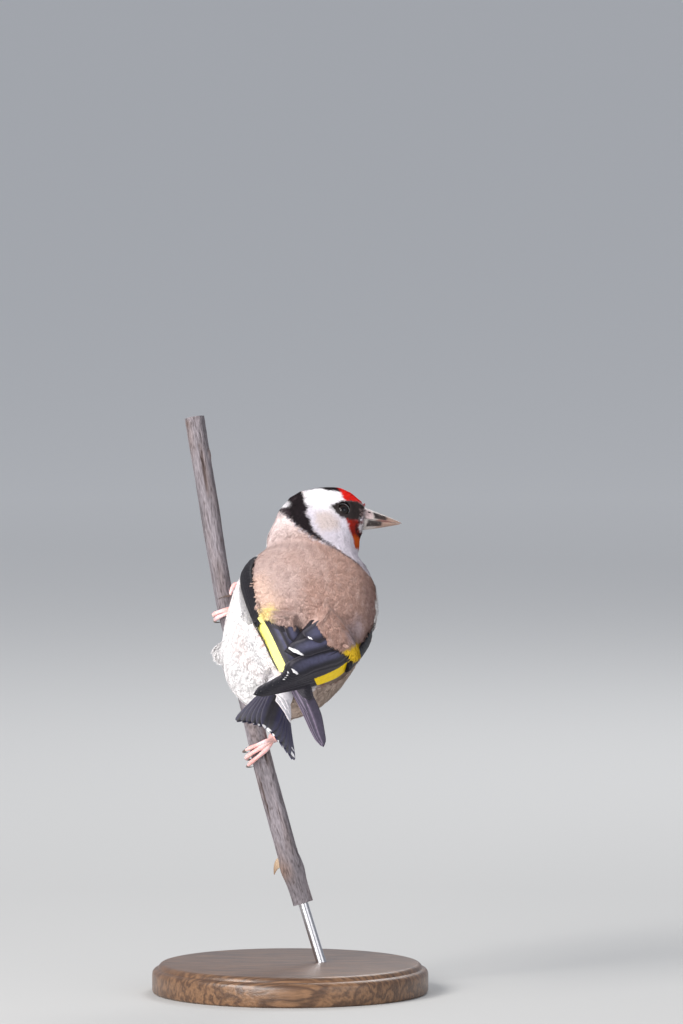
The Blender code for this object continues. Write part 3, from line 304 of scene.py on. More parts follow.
def head_share(points):
    """1 on the head's plumage and 0 on the body's, with a crisp edge along the face's lower line."""
    place = in_frame(HEAD_FRAME, points)
    over_line = place[:, 2] - np.interp(place[:, 1], *FACE_LINE)
    cheek = ramp(over_line + 0.25 * ripple(points, 1.6, 21), -0.3, 0.3) * ramp(place[:, 1], -1.8, -1.0)
    behind = ramp(depth_inside(place[:, 1:3], CRESCENT) + 0.3 * ripple(points, 1.4, 23), -0.5, 0.2)
    front = np.interp(place[:, 2], (-10.4, -6.2, -2.0, 1.4, 7.0), (-1.2, -5.5, -7.5, -7.9, -8.4))
    ahead = ramp(place[:, 1] - front, -0.3, 0.3) * ramp(place[:, 2], -10.6, -9.6)
    return np.maximum(np.maximum(cheek, behind), ahead)


def plumage(points):
    """Plumage colour anywhere on the bird's coat, with a painted shadow along the fold under the cheek."""
    head = head_share(points)
    colour = body_colours(points) * (1 - head[:, None]) + head_colours(points) * head[:, None]
    place = in_frame(HEAD_FRAME, points)
    over_line = place[:, 2] - np.interp(place[:, 1], *FACE_LINE)
    # Painted shadow: a thin dark line along the face's lower line, where the cheek overhangs the mantle.
    fold_shadow = ramp(0.55 - np.abs(over_line + 0.2), 0, 0.4)
    fold_shadow *= ramp(place[:, 1], -2.0, -0.5) * ramp(-place[:, 1], -13.0, -8.0)
    return mix(colour, FADED_BLACK_AND_SHADOW, 0.75 * fold_shadow)


def colour_rows(colours):
    return np.concatenate([np.clip(colours, 0, 1), np.ones((len(colours), 1))], axis=1).astype(np.float32)


def put(mesh, name, kind, values, domain="POINT"):
    """Stores one value for each point (or face corner) of a mesh."""
    held = mesh.attributes.new(name, kind, domain)
    field = {"FLOAT": "value", "FLOAT_VECTOR": "vector", "FLOAT2": "vector", "FLOAT_COLOR": "color"}[kind]
    held.data.foreach_set(field, np.asarray(values, np.float32).ravel())


def points_of(mesh):
    found = np.empty(len(mesh.vertices) * 3, np.float32)
    mesh.vertices.foreach_get("co", found)
    return found.reshape(-1, 3).astype(float)


def normals_of(mesh):
    found = np.empty(len(mesh.vertices) * 3, np.float32)
    mesh.vertex_normals.foreach_get("vector", found)
    return found.reshape(-1, 3).astype(float)


def place_object(name, mesh, *finishes):
    made = bpy.data.objects.new(name, mesh)
    bpy.context.scene.collection.objects.link(made)
    for finish in finishes:
        mesh.materials.append(finish)
    return made


def settle(thing):
    """Bakes an object's modifiers into its mesh."""
    bpy.context.view_layer.update()
    graph = bpy.context.evaluated_depsgraph_get()
    baked = bpy.data.meshes.new_from_object(thing.evaluated_get(graph))
    thing.modifiers.clear()
    thing.data = baked
    return thing


# A point's marks are its depths, in millimetres, inside a yellow and a white mark; they are negative outside.
UNMARKED = (-9.0, -9.0, 0.0)
NOWHERE = (0.0, 0.0, 0.0)
UNPAINTED = (0.5, 0.5, 0.5)


class Shape:
    """Points and faces in millimetres, gathered piece by piece, each with its colour, flat map and marks."""

    def __init__(self):
        self.points, self.faces, self.colours, self.maps, self.marks = [], [], [], [], []

    def add_rings(self, rings, colours, maps=None, closed=True, caps=True, marks=None):
        """Quads over equal rings, with a flat face at each open end. Colours may be one colour for all."""
        start, count = len(self.points), len(rings[0])
        if isinstance(colours, tuple):
            colours = [[colours] * count] * len(rings)
        for ring, shades, places in zip(rings, colours, maps or [[NOWHERE] * count] * len(rings)):
            self.points += ring
            self.colours += shades
            self.maps += places
        self.marks += [mark for row in marks for mark in row] if marks else [UNMARKED] * (count * len(rings))
        spans = count if closed else count - 1
        for k in range(len(rings) - 1):
            low, high = start + k * count, start + (k + 1) * count
            for i in range(spans):
                j = (i + 1) % count
                self.faces.append((low + i, low + j, high + j, high + i))
        if caps:
            self.faces.append(tuple(range(start + count - 1, start - 1, -1)))
            last = start + (len(rings) - 1) * count
            self.faces.append(tuple(range(last, last + count)))

    def build(self, name, *finishes, smooth=True):
        """Makes the object, with its faces turned outwards."""
        mesh = bpy.data.meshes.new(name)
        mesh.from_pydata([Vector(point) * MM for point in self.points], [], self.faces)
        put(mesh, "plumage", "FLOAT_COLOR", colour_rows(np.array(self.colours, float)))
        put(mesh, "across_along", "FLOAT_VECTOR", np.array(self.maps, float))
        put(mesh, "marks", "FLOAT_VECTOR", np.array(self.marks, float))
        work = bmesh.new()
        work.from_mesh(mesh)
        bmesh.ops.recalc_face_normals(work, faces=work.faces)
        work.to_mesh(mesh)
        work.free()
        if smooth:
            mesh.shade_smooth()
        return place_object(name, mesh, *finishes)


def crisp_edges(thing, degrees):
    thing.data.shade_smooth()
    thing.data.set_sharp_from_angle(angle=math.radians(degrees))


def round_angles(count):
    return [2 * math.pi * k / count for k in range(count)]


def add(tree, kind, settings=None, feeds=None):
    """Adds a node, sets it, and feeds its inputs with values or other nodes' outputs."""
    made = tree.nodes.new(kind)
    for key, value in (settings or {}).items():
        setattr(made, key, value)
    for key, value in (feeds or {}).items():
        if isinstance(value, bpy.types.NodeSocket):
            tree.links.new(value, made.inputs[key])
        else:
            made.inputs[key].default_value = value
    return made


def new_finish(name, **shader_values):
    """A finish with its shader's own values set. Returns the material, its tree and the shader."""
    made = bpy.data.materials.new(name)
    made.use_nodes = True
    shader = made.node_tree.nodes["Principled BSDF"]
    for key, value in shader_values.items():
        shader.inputs[key.replace("_", " ").title().replace("Ior", "IOR")].default_value = value
    return made, made.node_tree, shader


def attribute_colour(tree, name):
    return add(tree, "ShaderNodeAttribute", {"attribute_name": name}).outputs["Color"]


def attribute_value(tree, name):
    return add(tree, "ShaderNodeAttribute", {"attribute_name": name}).outputs["Fac"]


def object_point(tree, scale=(1, 1, 1)):
    """Object coordinates in millimetres, stretched by a scale."""
    where = add(tree, "ShaderNodeTexCoord").outputs["Object"]
    stretch = tuple(1000 * s for s in scale)
    return add(tree, "ShaderNodeMapping", None, {"Vector": where, "Scale": stretch}).outputs["Vector"]


def maths(tree, operation, first, second=0.0):
    return add(tree, "ShaderNodeMath", {"operation": operation}, {0: first, 1: second}).outputs[0]


def weighed(tree, start, *parts):
    """A start value with each part added times its weight."""
    total = start
    for value, weight in parts:
        total = maths(tree, "ADD", maths(tree, "MULTIPLY", value, weight), total)
    return total


def speckle(tree, where, scale, detail=3.0):
    made = add(tree, "ShaderNodeTexNoise", None, {"Vector": where, "Scale": scale, "Detail": detail})
    return made.outputs["Fac"]


def stepped(tree, value, low, high):
    """A value mapped from low..high to 0..1."""
    made = add(tree, "ShaderNodeMapRange", None, {"Value": value, "From Min": low, "From Max": high})
    return made.outputs["Result"]


def shaded(tree, colour, amount):
    """A colour made lighter or darker: an amount of 1 keeps it."""
    made = add(tree, "ShaderNodeVectorMath", {"operation": "SCALE"}, {0: colour, "Scale": amount})
    return made.outputs["Vector"]


def blended(tree, first, second, share):
    made = add(tree, "ShaderNodeMix", {"data_type": "RGBA"}, {"Factor": share})
    for index, value in ((6, first), (7, second)):
        if isinstance(value, bpy.types.NodeSocket):
            tree.links.new(value, made.inputs[index])
        else:
            made.inputs[index].default_value = (*value, 1.0)
    return made.outputs[2]


def bumped(tree, shader, height, distance, strength=1.0):
    bump = add(tree, "ShaderNodeBump", None, {"Height": height, "Distance": distance, "Strength": strength})
    tree.links.new(bump.outputs["Normal"], shader.inputs["Normal"])


def coat_finish():
    """Soft body feathers: their own colour, a little lighter towards the tips, each tuft different."""
    made, tree, shader = new_finish("feather_coat", roughness=0.85)
    shader.inputs["Specular IOR Level"].default_value = 0.05
    grain = stepped(tree, speckle(tree, object_point(tree), 2.4), 0.3, 0.7)
    shade, barb = attribute_value(tree, "shade"), attribute_value(tree, "barb")
    amount = weighed(tree, 0.94, (shade, 0.055), (barb, 0.06), (grain, 0.05))
    tree.links.new(shaded(tree, attribute_colour(tree, "coat_colour"), amount), shader.inputs["Base Color"])
    return made


def skin_finish():
    """The downy ground under the coat."""
    made, tree, shader = new_finish("down_ground", roughness=0.95)
    shader.inputs["Specular IOR Level"].default_value = 0.1
    grain = stepped(tree, speckle(tree, object_point(tree), 3.0), 0.2, 0.8)
    amount = weighed(tree, 0.98, (grain, 0.04))
    tree.links.new(shaded(tree, attribute_colour(tree, "plumage"), amount), shader.inputs["Base Color"])
    bumped(tree, shader, grain, 0.0001, 0.3)
    return made


def quill_finish(name, bar_colour):
    """Flight feathers: fine barbs that slant off the shaft, a silky gloss, and yellow and white marks."""
    made, tree, shader = new_finish(name, roughness=0.5)
    shader.inputs["Specular IOR Level"].default_value = 0.26
    place = add(tree, "ShaderNodeSeparateXYZ", None, {"Vector": attribute_colour(tree, "across_along")})
    across = maths(tree, "ABSOLUTE", place.outputs["X"])
    slant = maths(tree, "SUBTRACT", place.outputs["Y"], maths(tree, "MULTIPLY", across, BARB_SLANT))
    barbs = maths(tree, "SINE", maths(tree, "MULTIPLY", slant, 2 * math.pi / BARB_PITCH))
    patchy = stepped(tree, speckle(tree, object_point(tree), 0.9), 0.3, 0.75)
    amount = weighed(tree, 0.82, (barbs, 0.10), (patchy, 0.35))
    colour = shaded(tree, attribute_colour(tree, "plumage"), amount)
    depths = add(tree, "ShaderNodeSeparateXYZ", None, {"Vector": attribute_colour(tree, "marks")})
    wander = maths(tree, "SUBTRACT", speckle(tree, object_point(tree), 1.6), 0.5)
    faint = weighed(tree, 0.90, (barbs, 0.04), (patchy, 0.12))
    for axis, mark_colour, roam in (("X", bar_colour, 0.5), ("Y", QUILL_WHITE, 1.1)):
        depth = weighed(tree, depths.outputs[axis], (wander, roam), (barbs, 0.05))
        solid = add(tree, "ShaderNodeRGB")
        solid.outputs[0].default_value = (*mark_colour, 1.0)
        mark = shaded(tree, solid.outputs[0], faint)
        colour = blended(tree, colour, mark, stepped(tree, depth, -0.10, 0.10))
    tree.links.new(colour, shader.inputs["Base Color"])
    bumped(tree, shader, barbs, 0.00003, 0.3)
    return made


def horn_finish(name, roughness, ridge):
    """Bill and claw horn: its own colour, clouded, with faint growth lines."""
    made, tree, shader = new_finish(name, roughness=roughness)
    cloud = stepped(tree, speckle(tree, object_point(tree), 1.1, 4.0), 0.25, 0.8)
    amount = weighed(tree, 0.82, (cloud, 0.3))
    tree.links.new(shaded(tree, attribute_colour(tree, "plumage"), amount), shader.inputs["Base Color"])
    bumped(tree, shader, speckle(tree, object_point(tree), 6.0, 2.0), ridge, 0.5)
    return made


def foot_finish():
    """Scaly flesh-pink skin."""
    made, tree, shader = new_finish("foot_skin_scaled", roughness=0.5, subsurface_weight=0.15,
                                    subsurface_scale=0.0012)
    scale = add(tree, "ShaderNodeTexVoronoi", {"feature": "DISTANCE_TO_EDGE"},
                {"Vector": object_point(tree), "Scale": 1.9})
    seam = stepped(tree, scale.outputs["Distance"], 0.0, 0.14)
    cloud = stepped(tree, speckle(tree, object_point(tree), 0.8), 0.3, 0.7)
    amount = weighed(tree, 0.78, (seam, 0.16), (cloud, 0.12))
    tree.links.new(shaded(tree, attribute_colour(tree, "plumage"), amount), shader.inputs["Base Color"])
    bumped(tree, shader, seam, 0.00008, 0.6)
    return made


def eye_finish():
    made, tree, shader = new_finish("wet_eye", roughness=0.05)
    shader.inputs["Specular IOR Level"].default_value = 0.32
    tree.links.new(attribute_colour(tree, "plumage"), shader.inputs["Base Color"])
    return made


def bark_finish():
    """Weathered grey-lilac bark with dark lengthwise cracks."""
    made, tree, shader = new_finish("dry_bark", roughness=0.88)
    shader.inputs["Specular IOR Level"].default_value = 0.25
    fibre = speckle(tree, attribute_colour(tree, "across_along"), 5.0, 6.0)
    stain = speckle(tree, object_point(tree, (1, 1, 0.35)), 0.16, 4.0)
    amount = weighed(tree, 0.52, (stepped(tree, fibre, 0.38, 0.62), 0.42), (stain, 0.5))
    tree.links.new(shaded(tree, attribute_colour(tree, "plumage"), amount), shader.inputs["Base Color"])
    bumped(tree, shader, fibre, 0.00025, 0.8)
    return made


def wood_finish():
    """Dark oiled wood with long grain."""
    made, tree, shader = new_finish("stand_walnut", roughness=0.36, coat_weight=0.25, coat_roughness=0.25)
    warp = speckle(tree, object_point(tree, (0.09, 1.0, 0.5)), 0.22)
    rings = maths(tree, "SINE", maths(tree, "MULTIPLY", warp, GRAIN_RINGS))
    pores = stepped(tree, speckle(tree, object_point(tree, (0.12, 2.2, 1.0)), 1.5, 2.0), 0.35, 0.62)
    colour = blended(tree, WOOD_DARK, WOOD_LIGHT, stepped(tree, rings, -1.0, 1.0))
    amount = weighed(tree, 0.72, (pores, 0.35))
    tree.links.new(shaded(tree, colour, amount), shader.inputs["Base Color"])
    bumped(tree, shader, pores, 0.00008, 0.5)
    return made


def steel_finish():
    """A brushed steel rod."""
    made, tree, shader = new_finish("stand_steel_brushed", roughness=0.3, metallic=1.0)
    brush = speckle(tree, object_point(tree, (0.4, 0.4, 9.0)), 1.6)
    colour = blended(tree, STEEL_DARK, STEEL_LIGHT, stepped(tree, brush, 0.3, 0.7))
    tree.links.new(colour, shader.inputs["Base Color"])
    bumped(tree, shader, brush, 0.00002, 0.4)
    return made


# The skin under the coat: what it joins, how far those solids swell to close their cuts, and its mesh size.
SKIN_NODES = ("head", "neck", "torso", "thigh_left", "thigh_right")
SEAL, SKIN_VOXEL, SKIN_SOFTENING = 0.32, 0.55, 6
EYE_MIDDLE, EYE_RADIUS = Vector((5.9, 3.85, 1.45)), 2.15
EYE_SHIFT = Vector((0.0, -0.25, -0.6))
# Where the skin is fuller than the solids under it: a place in the head's frame, its reach and the shift.
FULLER = (((0.0, 2.0, 7.5), 8.0, (0.0, 0.0, 0.55)), ((0.0, 10.5, -8.0), 5.5, (0.0, 1.1, 0.0)))

# The coat's lie: feathers flow away from a place in the head's frame and from one in the body's. Their
# lengths go by the distance from the bill, by the height on the body and by the place along it.
BILL_FOOT = Vector((0.0, 11.5, -0.3))
FLOW_SOURCE = Vector((0.0, 62.0, 12.0))
NECK_JOIN, NECK_WAY = np.array((-5.2, 29.0, 13.6)), np.array((0.06, 0.55, 0.83))
HEAD_LENGTHS = ((0, 4, 9, 15, 22, 30), (0.9, 1.1, 1.35, 1.6, 1.8, 2.1))
BODY_LENGTHS = ((-20, -6, 4, 14), (3.3, 3.3, 3.3, 3.2))
SHORTER_AHEAD = ((10, 24), (1, 0.75))
COAT_DEPTH, COAT_LEAST = 0.085, 0.05
# A tuft has the plumage's colour at this share of its length from its root.
SHOWING = 0.55
# The bare ring round the eye: its middle lies ahead of the eye's, and these are the distances from there over
# which the coat starts and its feathers reach their full length. Over the last ones, from the eye's own middle,
# the skin sinks in by the coat's depth.
EYE_AHEAD, COAT_STARTS, COAT_FULL = 0.9, (2.9, 3.1), (2.9, 5.0)
SKIN_AT_EYE = (2.4, 4.0)


def coat_measures(points, normals):
    """For each skin point: the lie of the coat, the feathers' length and how much they stand proud in all."""
    head = in_frame(HEAD_FRAME, points)
    body = in_frame(BODY_FRAME, points)
    on_head = ramp((body - NECK_JOIN) @ NECK_WAY, -5.0, 2.5)[:, None]
    head_way = world_direction(HEAD_FRAME, unit(head - np.array(BILL_FOOT)))
    body_way = world_direction(BODY_FRAME, unit(body - np.array(FLOW_SOURCE)))
    way = head_way * on_head + body_way * (1 - on_head)
    flow = unit(way - normals * (way * normals).sum(1, keepdims=True))
    from_bill = np.linalg.norm(head - np.array(BILL_FOOT), axis=1)
    head_length = np.interp(from_bill, *HEAD_LENGTHS)
    body_length = np.interp(body[:, 2], *BODY_LENGTHS) * np.interp(body[:, 1], *SHORTER_AHEAD)
    length = head_length * on_head[:, 0] + body_length * (1 - on_head[:, 0])
    return flow, length, COAT_DEPTH * length + COAT_LEAST


def eye_distance(points, ahead):
    """The distance to the nearer eye, or to a place a little ahead of it."""
    place = in_frame(HEAD_FRAME, points)
    place[:, 0] = np.abs(place[:, 0])
    return np.linalg.norm(place - np.array(EYE_MIDDLE + EYE_SHIFT) - np.array((0.0, ahead, 0.0)), axis=1)


# The coat beside the wings. A point this near a shoulder pad's top is on the pad. Elsewhere tufts are cut short
# so that their tips clear a wing, and none grows where less than the least share of its length is left. Beside
# a wing tufts are short too, and none grows where the flow runs along the skin by less than the steepest share.
PAD_NEAR, LEAST_SHARE, WING_CLEARANCE, STEEPEST = 1.6, 0.3, 0.22, 0.62
BESIDE_WING, BESIDE_LENGTH, FAR_FROM_WING, TIP_RISE = 2.2, 1.7, 4.0, 0.35
TRIED_SHARES, SHARE_BACK = (1.0, 0.8, 0.6, 0.4, 0.2, 0.0), 0.1


def clear_of_wings(points, normals, flow, length):
    """The share of each tuft's length that it may have before it meets a wing, and its root's distance."""
    trees = [BVHTree.FromPolygons([v.co / MM for v in frame["nodes"][name].data.vertices],
                                  [tuple(f.vertices) for f in frame["nodes"][name].data.polygons])
             for name in ("wing_left", "wing_right")]

    def nearest(point):
        return min(tree.find_nearest(Vector(point), FAR_FROM_WING)[3] or FAR_FROM_WING for tree in trees)

    share = np.ones(len(points))
    for reach in TRIED_SHARES:
        tips = points + flow * (reach * length)[:, None] + normals * TIP_RISE
        for index in np.nonzero(share >= reach)[0]:
            if nearest(tips[index]) < WING_CLEARANCE:
                share[index] = reach - SHARE_BACK
    return share, np.array([nearest(point) for point in points])


def joined_flesh():
    """The solids of flesh and the shoulder pads as one closed, softened mesh, and the pads' top points."""
    work = bmesh.new()
    for name in SKIN_NODES:
        piece = bmesh.new()
        piece.from_mesh(frame["nodes"][name].data)
        bmesh.ops.remove_doubles(piece, verts=piece.verts, dist=1e-6)
        for vert, shift in [(v, v.normal * SEAL * MM) for v in piece.verts]:
            vert.co += shift
        held = bpy.data.meshes.new("piece")
        piece.to_mesh(held)
        piece.free()
        work.from_mesh(held)
        bpy.data.meshes.remove(held)
    pad_tops = []
    for side in WINGS:
        pad = Shape()
        rings = pad_rings(side)
        pad.add_rings([[BODY_FRAME @ point for point in top + low[::-1]] for top, low in rings], WHITE)
        pad_tops += [BODY_FRAME @ point for top, low in rings[1:] for point in top]
        built = pad.build("pad", smooth=False)
        work.from_mesh(built.data)
        bpy.data.objects.remove(built)
    mesh = bpy.data.meshes.new("bird_skin")
    work.to_mesh(mesh)
    work.free()
    skin = place_object("bird_skin", mesh)
    again = skin.modifiers.new("again", "REMESH")
    again.mode = "VOXEL"
    again.voxel_size = SKIN_VOXEL * MM
    smoother = skin.modifiers.new("smoother", "SMOOTH")
    smoother.factor = 0.5
    smoother.iterations = SKIN_SOFTENING
    return settle(skin), pad_tops


def make_skin(finish):
    """One closed skin in place of the nodes of flesh, inside them by the coat's depth, with its measures."""
    skin, pad_tops = joined_flesh()
    mesh = skin.data
    points, normals = points_of(mesh) / MM, normals_of(mesh)
    flow, length, depth = coat_measures(points, normals)
    depth *= ramp(eye_distance(points, 0.0), *SKIN_AT_EYE)
    points -= normals * (SEAL + depth)[:, None]
    for middle, reach, shift in FULLER:
        near = ramp(reach - np.linalg.norm(in_frame(HEAD_FRAME, points) - np.array(middle), axis=1), 0, reach)
        points += near[:, None] * world_direction(HEAD_FRAME, np.array([shift]))
    mesh.vertices.foreach_set("co", (points * MM).astype(np.float32).ravel())
    mesh.update()
    normals = normals_of(mesh)
    flow, length, depth = coat_measures(points, normals)
    pads = KDTree(len(pad_tops))
    for index, point in enumerate(pad_tops):
        pads.insert(point, index)
    pads.balance()
    on_pad = np.array([pads.find(Vector(p))[2] < PAD_NEAR for p in points])
    clear, apart = clear_of_wings(points, normals, flow, length)
    length *= np.where(on_pad, 1.0, clear)
    length = np.where(~on_pad & (apart < BESIDE_WING), np.minimum(length, BESIDE_LENGTH), length)
    ahead_of_eye = eye_distance(points, EYE_AHEAD)
    thick = np.where(on_pad | (clear > LEAST_SHARE), 1.0, 0.0) * ramp(ahead_of_eye, *COAT_STARTS)
    body = in_frame(BODY_FRAME, points)
    way = world_direction(BODY_FRAME, unit(body - np.array(FLOW_SOURCE)))
    sideways = np.linalg.norm(way - normals * (way * normals).sum(1, keepdims=True), axis=1)
    thick *= np.where((on_pad | (apart < BESIDE_WING)) & (sideways < STEEPEST), 0.0, 1.0)
    length *= 0.5 + 0.5 * ramp(ahead_of_eye, *COAT_FULL)
    put(mesh, "plumage", "FLOAT_COLOR", colour_rows(plumage(points)))
    showing = points + flow * (SHOWING * length)[:, None]
    put(mesh, "coat_colour", "FLOAT_COLOR", colour_rows(plumage(showing)))
    put(mesh, "flow", "FLOAT_VECTOR", flow)
    put(mesh, "outward", "FLOAT_VECTOR", normals)
    put(mesh, "length", "FLOAT", length)
    put(mesh, "thick", "FLOAT", thick)
    unwrap(skin)
    mesh.materials.append(finish)
    mesh.shade_smooth()
    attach(skin, "root")
    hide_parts(*SKIN_NODES)
    return skin


def unwrap(skin):
    """Lays the skin's own shape flat, for the coat's colour map."""
    bpy.context.view_layer.objects.active = skin
    skin.select_set(True)
    bpy.ops.object.mode_set(mode="EDIT")
    bpy.ops.mesh.select_all(action="SELECT")
    bpy.ops.uv.smart_project(angle_limit=math.radians(60), island_margin=0.01)
    bpy.ops.object.mode_set(mode="OBJECT")
    skin.data.uv_layers[0].name = "OFBake"
    skin.select_set(False)


# The coat's tufts, in shares of a tuft's length: a barb's half width, ridge and rise, where it is widest, the
# spread of the roots, and how much shorter the outer barbs are. The fan is half the fan's angle, in radians.
# A patch is the stretch of the colour map that one tuft takes.
TUFT_KINDS, BARBS = 4, 7
BARB_HALF, BARB_RIDGE, BARB_RISE, FAN = 0.050, 0.008, 0.016, 0.195
BARB_WIDEST, BARB_ROOTS, SHORTER_ASIDE, PATCH = 0.58, 0.07, 0.22, 0.003


def make_tuft(index):
    """A small fan of closed, tapering barbs, one unit long."""
    chance = np.random.default_rng(TUFT_SEED + index)
    points, faces, along, patches = [], [], [], []
    for k in range(BARBS):
        spread = (k / (BARBS - 1) - 0.5) * 2
        angle = spread * FAN + chance.uniform(-0.05, 0.05)
        reach = 1.0 - SHORTER_ASIDE * spread * spread - chance.uniform(0, 0.12)
        way = Vector((math.sin(angle), math.cos(angle), 0))
        side = Vector((math.cos(angle), -math.sin(angle), 0))
        root = Vector((spread * BARB_ROOTS, 0, chance.uniform(-0.01, 0.01)))
        middle = root + way * reach * BARB_WIDEST + Vector((0, 0, BARB_RISE + chance.uniform(-0.006, 0.006)))
        tip = root + way * reach + Vector((0, 0, BARB_RISE * 0.3 + chance.uniform(-0.01, 0.01)))
        start = len(points)
        ridge = middle + Vector((0, 0, BARB_RIDGE))
        points += [root, middle - side * BARB_HALF, ridge, middle + side * BARB_HALF, tip]
        along += [0.0, 0.5, 0.5, 0.5, 1.0]
        for a, b in ((1, 2), (2, 3), (3, 1)):
            faces.append((start, start + b, start + a))
            faces.append((start + 4, start + a, start + b))
    for point in points:
        patches.append((point.x * 1.2, point.y - 0.5, 0.0))
    mesh = bpy.data.meshes.new(f"tuft_{index}")
    mesh.from_pydata(points, [], faces)
    put(mesh, "barb", "FLOAT", along)
    put(mesh, "patch", "FLOAT_VECTOR", patches)
    return mesh


def tuft_collection():
    kinds = bpy.data.collections.new("tufts")
    for index in range(TUFT_KINDS):
        kinds.objects.link(bpy.data.objects.new(f"tuft_{index}", make_tuft(index)))
    return kinds


# How tufts vary, in radians and in shares of the tilt and of the length. Their spacing thins out the sowing.
COAT_TILT, COAT_YAW, COAT_ROLL, COAT_LEAN, COAT_SIZES = 0.045, 0.09, 0.03, (0.6, 1.4), (0.82, 1.12)
DENSEST, COAT_SEED, TUFT_SEED = 2.0e7, 100, 40


def coat_tree():
    """Scatters tufts over the skin, laid along its flow, and joins them into one mesh."""
    tree = bpy.data.node_groups.new("lay_coat", "GeometryNodeTree")
    inputs = (("Geometry", "Geometry"), ("Tufts", "Collection"), ("Spacing", "Float"), ("Tilt", "Float"),
              ("Seed", "Int"), ("Finish", "Material"))
    for name, kind in inputs:
        tree.interface.new_socket(name, in_out="INPUT", socket_type=f"NodeSocket{kind}")
    tree.interface.new_socket("Geometry", in_out="OUTPUT", socket_type="NodeSocketGeometry")
    given = add(tree, "NodeGroupInput").outputs

    def named(kind, name):
        return add(tree, "GeometryNodeInputNamedAttribute", {"data_type": kind}, {"Name": name}).outputs[0]

    def chance(low, high, offset):
        seed = maths(tree, "ADD", given["Seed"], float(offset))
        made = add(tree, "FunctionNodeRandomValue", {"data_type": "FLOAT"}, {2: low, 3: high})
        tree.links.new(seed, made.inputs["Seed"])
        return made.outputs[1]

    def stored(geometry, kind, name, value, domain="POINT"):
        return add(tree, "GeometryNodeStoreNamedAttribute", {"data_type": kind, "domain": domain},
                   {"Geometry": geometry, "Name": name, "Value": value}).outputs[0]

    spread = add(tree, "GeometryNodeDistributePointsOnFaces", {"distribute_method": "POISSON"},
                 {"Mesh": given["Geometry"], "Selection": named("FLOAT", "zone"),
                  "Distance Min": given["Spacing"], "Density Max": DENSEST,
                  "Density Factor": named("FLOAT", "thick"), "Seed": given["Seed"]})
    roots = stored(spread.outputs["Points"], "FLOAT_VECTOR", "root_uv", named("FLOAT_VECTOR", "OFBake"))
    roots = stored(roots, "FLOAT_VECTOR", "outward", named("FLOAT_VECTOR", "outward"))
    roots = stored(roots, "FLOAT", "shade", chance(-1.0, 1.0, 1))
    rotation = add(tree, "FunctionNodeAxesToRotation", {"primary_axis": "Z", "secondary_axis": "Y"},
                   {"Primary Axis": named("FLOAT_VECTOR", "outward"),
                    "Secondary Axis": named("FLOAT_VECTOR", "flow")}).outputs[0]
    yaw = add(tree, "ShaderNodeCombineXYZ", None, {"Z": chance(-COAT_YAW, COAT_YAW, 2)})
    lean = maths(tree, "MULTIPLY", given["Tilt"], chance(*COAT_LEAN, 3))
    pitch = add(tree, "ShaderNodeCombineXYZ", None, {"X": lean, "Y": chance(-COAT_ROLL, COAT_ROLL, 4)})
    for twist in (yaw, pitch):
        turn = add(tree, "FunctionNodeEulerToRotation", None, {0: twist.outputs[0]})
        rotation = add(tree, "FunctionNodeRotateRotation", {"rotation_space": "LOCAL"},
                       {0: rotation, 1: turn.outputs[0]}).outputs[0]
    scale = chance(COAT_SIZES[0] * MM, COAT_SIZES[1] * MM, 5)
    size = maths(tree, "MULTIPLY", named("FLOAT", "length"), scale)
    kinds = add(tree, "GeometryNodeCollectionInfo", None,
                {"Collection": given["Tufts"], "Separate Children": True, "Reset Children": True})
    placed = add(tree, "GeometryNodeInstanceOnPoints", None,
                 {"Points": roots, "Instance": kinds.outputs[0], "Pick Instance": True,
                  "Rotation": rotation, "Scale": size})
    joined = add(tree, "GeometryNodeRealizeInstances", None, {"Geometry": placed.outputs[0]})
    patch = shaded(tree, named("FLOAT_VECTOR", "patch"), PATCH)
    where = add(tree, "ShaderNodeVectorMath", {"operation": "ADD"},
                {0: named("FLOAT_VECTOR", "root_uv"), 1: patch})
    mapped = stored(joined.outputs[0], "FLOAT2", "OFBake", where.outputs[0], "CORNER")
    dressed = add(tree, "GeometryNodeSetMaterial", None, {"Geometry": mapped, "Material": given["Finish"]})
    add(tree, "NodeGroupOutput", None, {"Geometry": dressed.outputs[0]})
    return tree


def coat_zones(points):
    """The coat's stretches, each with the spacing of its tufts."""
    head, body = in_frame(HEAD_FRAME, points), in_frame(BODY_FRAME, points)
    right, forward, up = body.T
    on_head = (body - NECK_JOIN) @ NECK_WAY > -1.0
    dorsal = up > np.interp(forward, (-30, 0, 15, 30), (-1.0, 3.0, 6.0, 10.0))
    return (
        ("face", on_head & (head[:, 1] > 4.0), 0.25),
        ("cheek", on_head & (head[:, 1] <= 4.0) & (head[:, 0] > 0), 0.33),
        ("crown", on_head & (head[:, 1] <= 4.0) & (head[:, 0] <= 0), 0.36),
        ("mantle_left", ~on_head & dorsal & (forward > 3) & (right <= 0), 0.40),
        ("mantle_right", ~on_head & dorsal & (forward > 3) & (right > 0), 0.40),
        ("back_left", ~on_head & dorsal & (forward <= 3) & (right <= 0), 0.43),
        ("back_right", ~on_head & dorsal & (forward <= 3) & (right > 0), 0.43),
        ("breast_left", ~on_head & ~dorsal & (forward > 4) & (right <= 0), 0.47),
        ("breast_right", ~on_head & ~dorsal & (forward > 4) & (right > 0), 0.49),
        ("belly_left", ~on_head & ~dorsal & (forward <= 4) & (right <= 0), 0.48),
        ("belly_right", ~on_head & ~dorsal & (forward <= 4) & (right > 0), 0.50),
    )


KEPT_ATTRIBUTES = ("coat_colour", "shade", "barb", "OFBake", "custom_normal")
# The share of a tuft's own relief in its shading.
OWN_RELIEF = 0.12


